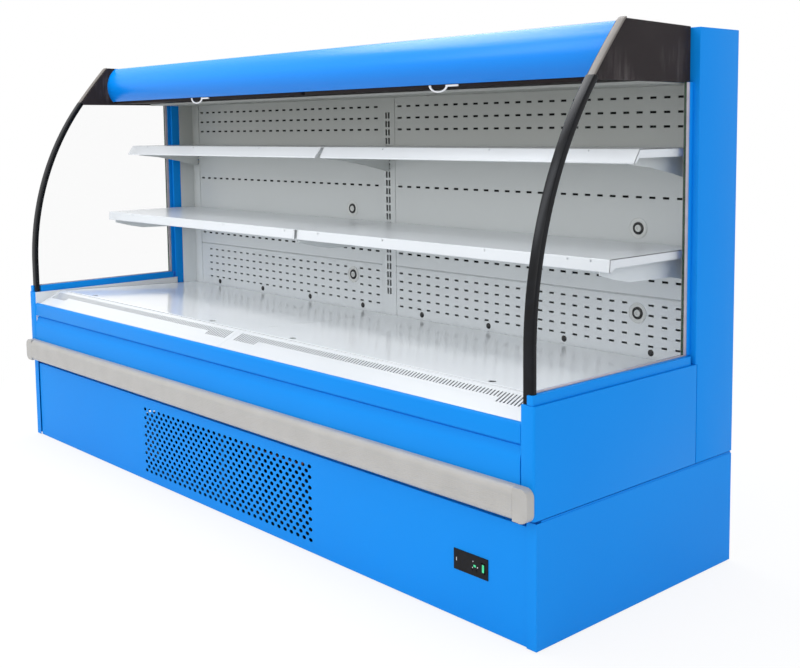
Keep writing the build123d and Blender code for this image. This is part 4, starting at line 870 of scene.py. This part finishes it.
# Edge channels: black tubes that follow the front edge of the glass. Each rises straight
# from the sill, then bends back on a large radius up to the light trim.
TUBE_INNER = 1.248
TUBE_OUTER = 1.2788
TUBE_FRONT = 0.008 - DATUM
TUBE_DEEP = 0.0155
TUBE_FOOT = 0.5675
TUBE_CORNER = 0.0045
BEND_HEIGHT = 0.677
BIG_RADIUS = 1.0
TRIM_HEIGHT = 1.297
BIG_CENTRE = Vector((0, TUBE_FRONT + BIG_RADIUS, BEND_HEIGHT))
TRIM_ANGLE = math.asin((TRIM_HEIGHT - BEND_HEIGHT) / BIG_RADIUS)


def channel_section(mesh, height, inner, outer, deep, corner):
    """A rounded section of the channel or its trim, lying level at a height, as one face."""
    corners = [(inner, TUBE_FRONT), (outer, TUBE_FRONT), (outer, TUBE_FRONT + deep), (inner, TUBE_FRONT + deep)]
    face = mesh.faces.new([mesh.verts.new((x, y, height)) for x, y in corners])
    bmesh.ops.bevel(mesh, geom=face.verts[:], offset=corner, offset_type="OFFSET", affect="VERTICES", segments=5,
                    profile=0.5, material=-1)
    mesh.faces.ensure_lookup_table()
    return mesh.faces[0]


def swung(mesh, face, centre, angle, steps):
    """Swings the end face about a level line through a centre, and gives back the new end."""
    made = bmesh.ops.spin(mesh, geom=face.verts[:] + face.edges[:] + [face], cent=centre, axis=(1, 0, 0),
                          angle=angle, steps=steps, use_merge=False)
    return next(part for part in made["geom_last"] if isinstance(part, bmesh.types.BMFace))


for side, hand in SIDES:
    tube = bmesh.new()
    foot = channel_section(tube, TUBE_FOOT, TUBE_INNER, TUBE_OUTER, TUBE_DEEP, TUBE_CORNER)
    raised = bmesh.ops.extrude_face_region(tube, geom=[foot])["geom"]
    end = next(part for part in raised if isinstance(part, bmesh.types.BMFace))
    bmesh.ops.translate(tube, vec=(0, 0, BEND_HEIGHT - TUBE_FOOT), verts=end.verts[:])
    swung(tube, end, BIG_CENTRE, -TRIM_ANGLE, 40)
    bmesh.ops.recalc_face_normals(tube, faces=tube.faces)
    finished("edge_channel_" + side, handed(tube, hand), satin_black, "carcass", "black_metal",
             "edge_tube_" + side, crease=60)

# Light trims: extruded strips of dull, warm dark grey PVC that carry the line on over the side
# arms. They run nearly straight, turn a small corner at the top of the glass and end there.
GLASS_TOP = 1.436
TRIM_INNER = 1.2535
TRIM_OUTER = 1.2755
TRIM_DEEP = 0.0048
TRIM_CORNER = 0.0022
TRIM_TURN = 0.62
STRAIGHT_RADIUS = 3.0
CORNER_RADIUS = 0.025
STRAIGHT_CENTRE = BIG_CENTRE + (STRAIGHT_RADIUS - BIG_RADIUS) * Vector((0, math.cos(TRIM_ANGLE), -math.sin(TRIM_ANGLE)))
CORNER_SINE = (GLASS_TOP - CORNER_RADIUS - STRAIGHT_CENTRE.z) / (STRAIGHT_RADIUS - CORNER_RADIUS)
CORNER_ANGLE = math.asin(CORNER_SINE)
CORNER_CENTRE = STRAIGHT_CENTRE + (STRAIGHT_RADIUS - CORNER_RADIUS) * Vector((0, -math.cos(CORNER_ANGLE), CORNER_SINE))
trim = bmesh.new()
section = channel_section(trim, BEND_HEIGHT, TRIM_INNER, TRIM_OUTER, TRIM_DEEP, TRIM_CORNER)
bmesh.ops.rotate(trim, cent=BIG_CENTRE, matrix=Matrix.Rotation(-TRIM_ANGLE, 3, "X"), verts=trim.verts[:])
end = swung(trim, section, STRAIGHT_CENTRE, -(CORNER_ANGLE - TRIM_ANGLE), 8)
end = swung(trim, end, CORNER_CENTRE, -(math.pi / 2 - CORNER_ANGLE) * TRIM_TURN, 10)
bmesh.ops.scale(trim, vec=(0.94, 1, 1), space=Matrix.Translation(-end.calc_center_median()), verts=end.verts[:])
bmesh.ops.recalc_face_normals(trim, faces=trim.faces)
trim_grey = mottled("extruded_pvc_trim", PVC_CLOUD, (0.35, 0.65), ("#655f59", "#6e6761"), 0.42, detail=3.0)[0]
finished("edge_trim_covers", with_twin(trim), trim_grey, "carcass", "trim_plastic", "edge_trims", crease=60)

# Side glass: flat toughened float glass, 6 mm, with ground edges. It is nearly clear and
# goes dark green along the cut edge, where the eye looks through its whole depth.
float_glass, tree, shader, place = surface("toughened_float_glass")
shader.inputs["Base Color"].default_value = linear("#1c2a22")
shader.inputs["Roughness"].default_value = 0.03
shader.inputs["Alpha"].default_value = 0.022

GLASS_INNER = 1.262
GLASS_THICK = 0.006
GLASS_MIDDLE = GLASS_INNER + GLASS_THICK / 2
GLASS_SETBACK = 0.0040
GLASS_BACK = 0.614 - DATUM
GLASS_BACK_TOP = 1.4282
GLASS_CROWN = 0.0010
GLASS_TURN = (0.64, 0.70)
SILL_HEIGHT = 0.590
ARM_FOOT = 1.287
BEAD_DEPTH = 0.0105


def carried(mesh, point, centre, angle, steps):
    """Runs edges on from a point along an arc, and gives back the last point."""
    made = bmesh.ops.spin(mesh, geom=[point], cent=centre, axis=(1, 0, 0), angle=angle, steps=steps, use_merge=False)
    return next(part for part in made["geom_last"] if isinstance(part, bmesh.types.BMVert))


def pane_outline(setback, foot, drop, back):
    """The flat outline of the pane, set back from the channel and down from its top, as one face."""
    pane = bmesh.new()
    low = pane.verts.new((0, TUBE_FRONT + setback, foot))
    bend = pane.verts.new((0, TUBE_FRONT + setback, BEND_HEIGHT))
    pane.edges.new((low, bend))
    end = carried(pane, bend, BIG_CENTRE, -TRIM_ANGLE, 30)
    end = carried(pane, end, STRAIGHT_CENTRE, -(CORNER_ANGLE - TRIM_ANGLE), 5)
    end = carried(pane, end, CORNER_CENTRE, -(math.pi / 2 - CORNER_ANGLE) * GLASS_TURN[0], 8)
    turn = CORNER_ANGLE + (math.pi / 2 - CORNER_ANGLE) * GLASS_TURN[1]
    outward = Vector((0, -math.cos(turn), math.sin(turn)))
    crown = pane.verts.new(CORNER_CENTRE + (CORNER_RADIUS - GLASS_CROWN - drop) * outward)
    rear = pane.verts.new((0, back, GLASS_BACK_TOP - drop))
    heel = pane.verts.new((0, back, foot))
    for pair in ((end, crown), (crown, rear), (rear, heel), (heel, low)):
        pane.edges.new(pair)
    filled(pane, pane.edges[:], (1, 0, 0))
    bmesh.ops.dissolve_limit(pane, angle_limit=0.01, verts=pane.verts, edges=pane.edges)
    return pane


def thickened(flat, inner, thickness):
    """Gives a flat upright sheet its thickness outwards from a place across the case."""
    bmesh.ops.translate(flat, vec=(inner, 0, 0), verts=flat.verts)
    extruded(flat, flat.faces[:], (thickness, 0, 0))
    return flat


for side, hand in SIDES:
    pane = thickened(pane_outline(GLASS_SETBACK, SILL_HEIGHT, 0.0, GLASS_BACK), GLASS_INNER, GLASS_THICK)
    finished("glass_pane_" + side, handed(pane, hand), float_glass, "carcass", "clear_glass",
             "side_glass_" + side, crease=20)

ground_edge = mottled("ground_glass_edge", 8.333, (0.3, 0.7), ("#16301f", "#24452f"), 0.25)[0]
edge_strip = bmesh.new()
box_between(edge_strip, (GLASS_MIDDLE - 0.0029, GLASS_BACK - BEAD_DEPTH - 0.0020, SILL_HEIGHT),
            (GLASS_MIDDLE + 0.0029, GLASS_BACK - BEAD_DEPTH, ARM_FOOT))
finished("glass_cut_edges", with_twin(edge_strip), ground_edge, "carcass", "clear_glass")

# Side arms: flat black steel arms on the inside of each pane, from the rear column to the
# light trim. They carry the canopy, and their dull coat holds fine upright streaks of painted
# reflection.
ARM_BACK = 0.627 - DATUM
ARM_THICK = 0.014
# The upright streaks are painted reflections.
arm_black_painted_reflections, tree, shader, place = surface("powder_coat_black_painted_reflections")
stretched = add(tree, "ShaderNodeMapping", {"Vector": place, "Scale": (1.0, 105.0, 12.0)})
run = add(tree, "ShaderNodeTexNoise", {"Vector": stretched.outputs[0], "Scale": 1.0, "Detail": 6.0, "Roughness": 0.62})
patch = add(tree, "ShaderNodeTexNoise", {"Vector": place, "Scale": 7.0, "Detail": 2.0})
both = add(tree, "ShaderNodeMath", {0: run.outputs["Fac"], 1: patch.outputs["Fac"]}, operation="MULTIPLY")
coloured(tree, shader, both.outputs[0], (0.27, 0.50), ("#2d2728", "#544d4d"), 0.7, specular=0.12)
flat = pane_outline(GLASS_SETBACK + 0.001, SILL_HEIGHT, 0.0016, ARM_BACK)
cut(flat, (0, 0, ARM_FOOT), (0, 0, 1), drop_below=True)
finished("side_arms", with_twin(thickened(flat, GLASS_INNER - ARM_THICK, ARM_THICK - 0.0002)), arm_black_painted_reflections, "carcass",
         "black_metal", "canopy_side_arms", crease=20)

# Glazing beads: soft pinkish-grey PVC strips that hold the glass in its sill and against
# the rear column. They are pushed in and cut square at the ends.
glazing = mottled("extruded_pvc_glazing_bead", 33.33, (0.35, 0.65), ("#aaa1a8", "#b8afb3"), 0.5)[0]
beads = bmesh.new()
GLASS_FRONT = 0.027 - DATUM
BEAD_HALF = 0.0055
BEAD_HEIGHT = 0.0030
box_between(beads, (GLASS_MIDDLE - BEAD_HALF, GLASS_BACK - BEAD_DEPTH, SILL_HEIGHT),
            (GLASS_MIDDLE + BEAD_HALF, GLASS_BACK, ARM_FOOT))
box_between(beads, (GLASS_MIDDLE - BEAD_HALF, GLASS_FRONT, SILL_HEIGHT),
            (GLASS_MIDDLE + BEAD_HALF, GLASS_BACK - BEAD_DEPTH, SILL_HEIGHT + BEAD_HEIGHT))
ease(beads, 0.0008, 2)
finished("glazing_beads", with_twin(beads), glazing, "carcass", "trim_plastic")

# Canopy: a bulged sheet between the side arms, in the same blue with a glossier coat and
# painted shade that darkens it towards its foot. It turns over a rolled bead there and a tight
# round crest above.
CANOPY_CREST = Vector((0, 0.376 - DATUM, 1.430))
CANOPY_BULGE = Vector((0, 0.340 - DATUM, 1.355))
CANOPY_BEAD = Vector((0, 0.350 - DATUM, 1.317))
CANOPY_FOOT = Vector((0, 0.362 - DATUM, 1.300))
CANOPY_LIP = Vector((0, 0.355 - DATUM, 1.308))
CANOPY_SHEET = 0.0022
CANOPY_SHADE_SPAN = (1.318, 1.375)
CANOPY_FLANGE = 0.024

# Darker towards the foot: painted shade.
canopy_blue, tree, shader, place = surface("powder_coat_blue_gloss_painted_shade")
painted_shading = uneven(tree, place, "Z", CANOPY_SHADE_SPAN, SKIN_CLOUD, 2.0, 0.1)
coloured(tree, shader, painted_shading, (0.0, 1.0), ("#0073cb", "#0087e6"), 0.27, specular=0.26)


def arc_centre(a, b, c):
    """The centre of the circle through three points at one place along the case."""
    ay, az, by, bz, cy, cz = a.y, a.z, b.y, b.z, c.y, c.z
    d = 2 * (ay * (bz - cz) + by * (cz - az) + cy * (az - bz))
    a2, b2, c2 = ay * ay + az * az, by * by + bz * bz, cy * cy + cz * cz
    return Vector((0, (a2 * (bz - cz) + b2 * (cz - az) + c2 * (az - bz)) / d,
                   (a2 * (cy - by) + b2 * (ay - cy) + c2 * (by - ay)) / d))


def bent_edge(mesh, start, through, end, steps):
    """A run of edges that turns from one point through another to a third."""
    centre = arc_centre(start, through, end)
    first, last = start - centre, end - centre
    turn = math.atan2(first.y * last.z - first.z * last.y, first.y * last.y + first.z * last.z)
    bmesh.ops.spin(mesh, geom=[mesh.verts.new(start)], cent=centre, axis=(1, 0, 0), angle=turn, steps=steps,
                   use_merge=False)


canopy = bmesh.new()
bent_edge(canopy, CANOPY_FOOT, CANOPY_LIP, CANOPY_BEAD, 6)
bent_edge(canopy, CANOPY_BEAD, CANOPY_BULGE, CANOPY_CREST, 28)
crest = canopy.verts.new(CANOPY_CREST)
canopy.edges.new((crest, canopy.verts.new(CANOPY_CREST + Vector((0, CANOPY_FLANGE, 0)))))
bmesh.ops.remove_doubles(canopy, verts=canopy.verts, dist=0.0002)
bmesh.ops.translate(canopy, vec=(-BODY_HALF, 0, 0), verts=canopy.verts)
drawn(canopy, 2 * BODY_HALF)
bmesh.ops.recalc_face_normals(canopy, faces=canopy.faces)
canopy.faces.ensure_lookup_table()
outward = sum(face.normal.y for face in canopy.faces)
bmesh.ops.solidify(canopy, geom=canopy.faces[:], thickness=CANOPY_SHEET if outward < 0 else -CANOPY_SHEET)
bmesh.ops.recalc_face_normals(canopy, faces=canopy.faces)
finished("bulged_canopy", canopy, canopy_blue, "carcass", "painted_blue", "canopy_front", crease=50)

# Night blinds: light grey woven screen cloth, matt, wound on spring rollers. A dark anodised
# bar that tucks in behind the foot of the canopy pulls each down, by a white moulded handle.
ROLLER_PLACE = (0.440 - DATUM, 1.345)
ROLL_RADIUS = 0.026
CLOTH_RADIUS = 0.0255
BAR_PLACE = (0.3654 - DATUM, 0.3814 - DATUM, 1.290, 1.302)
BAR_SPAN = (0.008, 1.240)
LOOP_HALF = 0.034
LOOP_DROP = 0.019
LOOP_FLATNESS = 0.62
HANDLE_TOP = 1.2985
HANDLE_CENTRE = 0.624
HANDLE_WIRE = 0.0042
CLOTH_SPAN = (0.018, 1.234)

screen_cloth, tree, shader, place = surface("woven_screen_cloth")
# The threads are about a millimetre apart, too fine to show, so the weave is drawn 7 mm wide.
WEAVE_WIDTH = 0.0069813
weave = add(tree, "ShaderNodeTexWave", {"Vector": place, "Scale": math.tau / 20 / WEAVE_WIDTH, "Distortion": 0.0},
            bands_direction="X")
coloured(tree, shader, weave.outputs["Fac"], (0.2, 0.8), ("#a9adb0", "#c3c6c8"), 0.8)

bar_black = mottled("anodised_aluminium_black", 8.333, (0.3, 0.7), ("#171112", "#211819"), 0.6, specular=0.12)[0]
dress(bar_black, "blind_housing")
handle_white = mottled("moulded_abs_white", 3.333, (0.3, 0.7), ("#d4d3d3", "#dedddd"), 0.35)[0]

for side, hand in SIDES:
    roll = bmesh.new()
    along = Matrix.Rotation(math.radians(90), 4, "Y")
    for radius, x0, x1, sides in ((ROLL_RADIUS, 0.016, 1.236, 40), (0.005, 0.0005, 1.255, 16)):
        middle = Matrix.Translation(((x0 + x1) / 2, *ROLLER_PLACE))
        bmesh.ops.create_cone(roll, cap_ends=True, segments=sides, radius1=radius, radius2=radius, depth=x1 - x0,
                              matrix=middle @ along)
    finished("blind_roll_" + side, handed(roll, hand), screen_cloth, "roller_" + side, "blind_cloth",
             "blind_roller_" + side)

    bar = bmesh.new()
    box_between(bar, (BAR_SPAN[0], BAR_PLACE[0], BAR_PLACE[2]), (BAR_SPAN[1], BAR_PLACE[1], BAR_PLACE[3]))
    ease(bar, 0.003, 4)
    finished("pull_bar_" + side, handed(bar, hand), bar_black, "bar_" + side, "white_plastic", "blind_bar_" + side)

    handle_y = BAR_PLACE[0] - 0.0026
    centre_x = hand * HANDLE_CENTRE
    loop = bmesh.new()
    bmesh.ops.create_circle(loop, cap_ends=True, radius=HANDLE_WIRE, segments=12,
                            matrix=Matrix.Translation((centre_x - LOOP_HALF, handle_y, HANDLE_TOP)))
    end = loop.faces[:][0]
    bmesh.ops.spin(loop, geom=end.verts[:] + end.edges[:] + [end],
                   cent=(centre_x, handle_y, HANDLE_TOP), axis=(0, 1, 0),
                   angle=-math.pi, steps=24, use_merge=False)
    bmesh.ops.scale(loop, vec=(1, LOOP_FLATNESS, LOOP_DROP / LOOP_HALF), verts=loop.verts,
                    space=Matrix.Translation((0, -handle_y, -HANDLE_TOP)))
    bmesh.ops.recalc_face_normals(loop, faces=loop.faces)
    strap = bmesh.new()
    box_between(strap, (centre_x + LOOP_HALF - 0.004, handle_y - 0.0026, HANDLE_TOP - 0.0055),
                (centre_x + 0.078, BAR_PLACE[0] + 0.0002, HANDLE_TOP))
    ease(strap, 0.0009, 2)
    gather(loop, strap)
    finished("pull_handle_" + side, loop, handle_white, "bar_" + side, "white_plastic", "blind_bar_" + side, crease=50)

    cloth = bmesh.new()
    top_point = Vector((0, ROLLER_PLACE[0] - CLOTH_RADIUS * 0.90, ROLLER_PLACE[1] - CLOTH_RADIUS * 0.43))
    foot_point = Vector((0, (BAR_PLACE[0] + BAR_PLACE[1]) / 2, BAR_PLACE[3] - 0.001))
    x0, x1 = sorted((hand * CLOTH_SPAN[0], hand * CLOTH_SPAN[1]))
    traced(cloth, [(x0, *top_point.yz), (x0, *foot_point.yz)])
    bmesh.ops.subdivide_edges(cloth, edges=cloth.edges[:], cuts=15)
    drawn(cloth, x1 - x0)
    blind = finished("blind_cloth_" + side, cloth, screen_cloth, None, "blind_cloth")
    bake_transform(blind)

# Roof and machine: galvanised sheet with pale spangles, a bare aluminium coil and copper
# lines. They are mostly seen from behind and from below.
galvanised, tree, shader, place = surface("galvanised_sheet")
SPANGLE = 11.11
spangle = add(tree, "ShaderNodeTexVoronoi", {"Vector": place, "Scale": 1000 / SPANGLE})
coloured(tree, shader, spangle.outputs["Distance"], (0.1, 0.6), ("#9fa4a8", "#b4b9bc"), 0.45, metallic=0.7)
dress(galvanised, "base_rear_grille", "condenser_fan_shroud", "roof_panel")

coil_metal = mottled("mill_aluminium", 3.333, (0.3, 0.7), ("#b9bcc0", "#cfd2d5"), 0.35, metallic=1.0)[0]
dress(coil_metal, "evaporator_coil")
copper = mottled("drawn_copper", 16.67, (0.3, 0.7), ("#b06a45", "#c98561"), 0.3, metallic=1.0)[0]
dress(copper, "refrigerant_pipes")

# Controller: a small glossy black fascia set in the base front. It has a pale mark at its
# left, a few small marks and a green lamp in the middle, and a green-lit rocker.
gloss_black = mottled("moulded_abs_gloss_black", 12.5, (0.3, 0.7), ("#141315", "#1b1a1c"), 0.12, specular=0.12)[0]
dress(gloss_black, "controller_panel", "power_switch", "controller_key_down", "controller_key_up")

PANEL_Y = 0.010 - DATUM
marks = bmesh.new()
for x, z, wide, tall in ((1.0365, 0.1500, 0.0016, 0.0085), (1.0915, 0.1590, 0.0022, 0.0022),
                         (1.1060, 0.1472, 0.0030, 0.0026), (1.0900, 0.1437, 0.0024, 0.0024)):
    box_between(marks, (x - wide / 2, PANEL_Y - 0.0003, z - tall / 2), (x + wide / 2, PANEL_Y + 0.0002, z + tall / 2))
finished("controller_marks", marks, handle_white, "carcass", "white_plastic")

green_lamp, tree, shader, place = mottled("lit_acrylic_green", 5, (0.3, 0.7), ("#2aa56d", "#48cf92"), 0.2)
shader.inputs["Emission Color"].default_value = linear("#2bb878")
shader.inputs["Emission Strength"].default_value = 0.5
lamps = bmesh.new()
box_between(lamps, (1.0930, PANEL_Y - 0.0003, 0.1462), (1.1005, PANEL_Y + 0.0002, 0.1512))
finished("controller_lamp", lamps, green_lamp, "carcass", "white_plastic")
rocker_lens = bmesh.new()
box_between(rocker_lens, (1.1226, PANEL_Y - 0.0026, 0.1410), (1.1288, PANEL_Y - 0.0009, 0.1598))
ease(rocker_lens, 0.0006, 2)
finished("rocker_lens", rocker_lens, green_lamp, "rocker", "gloss_black")
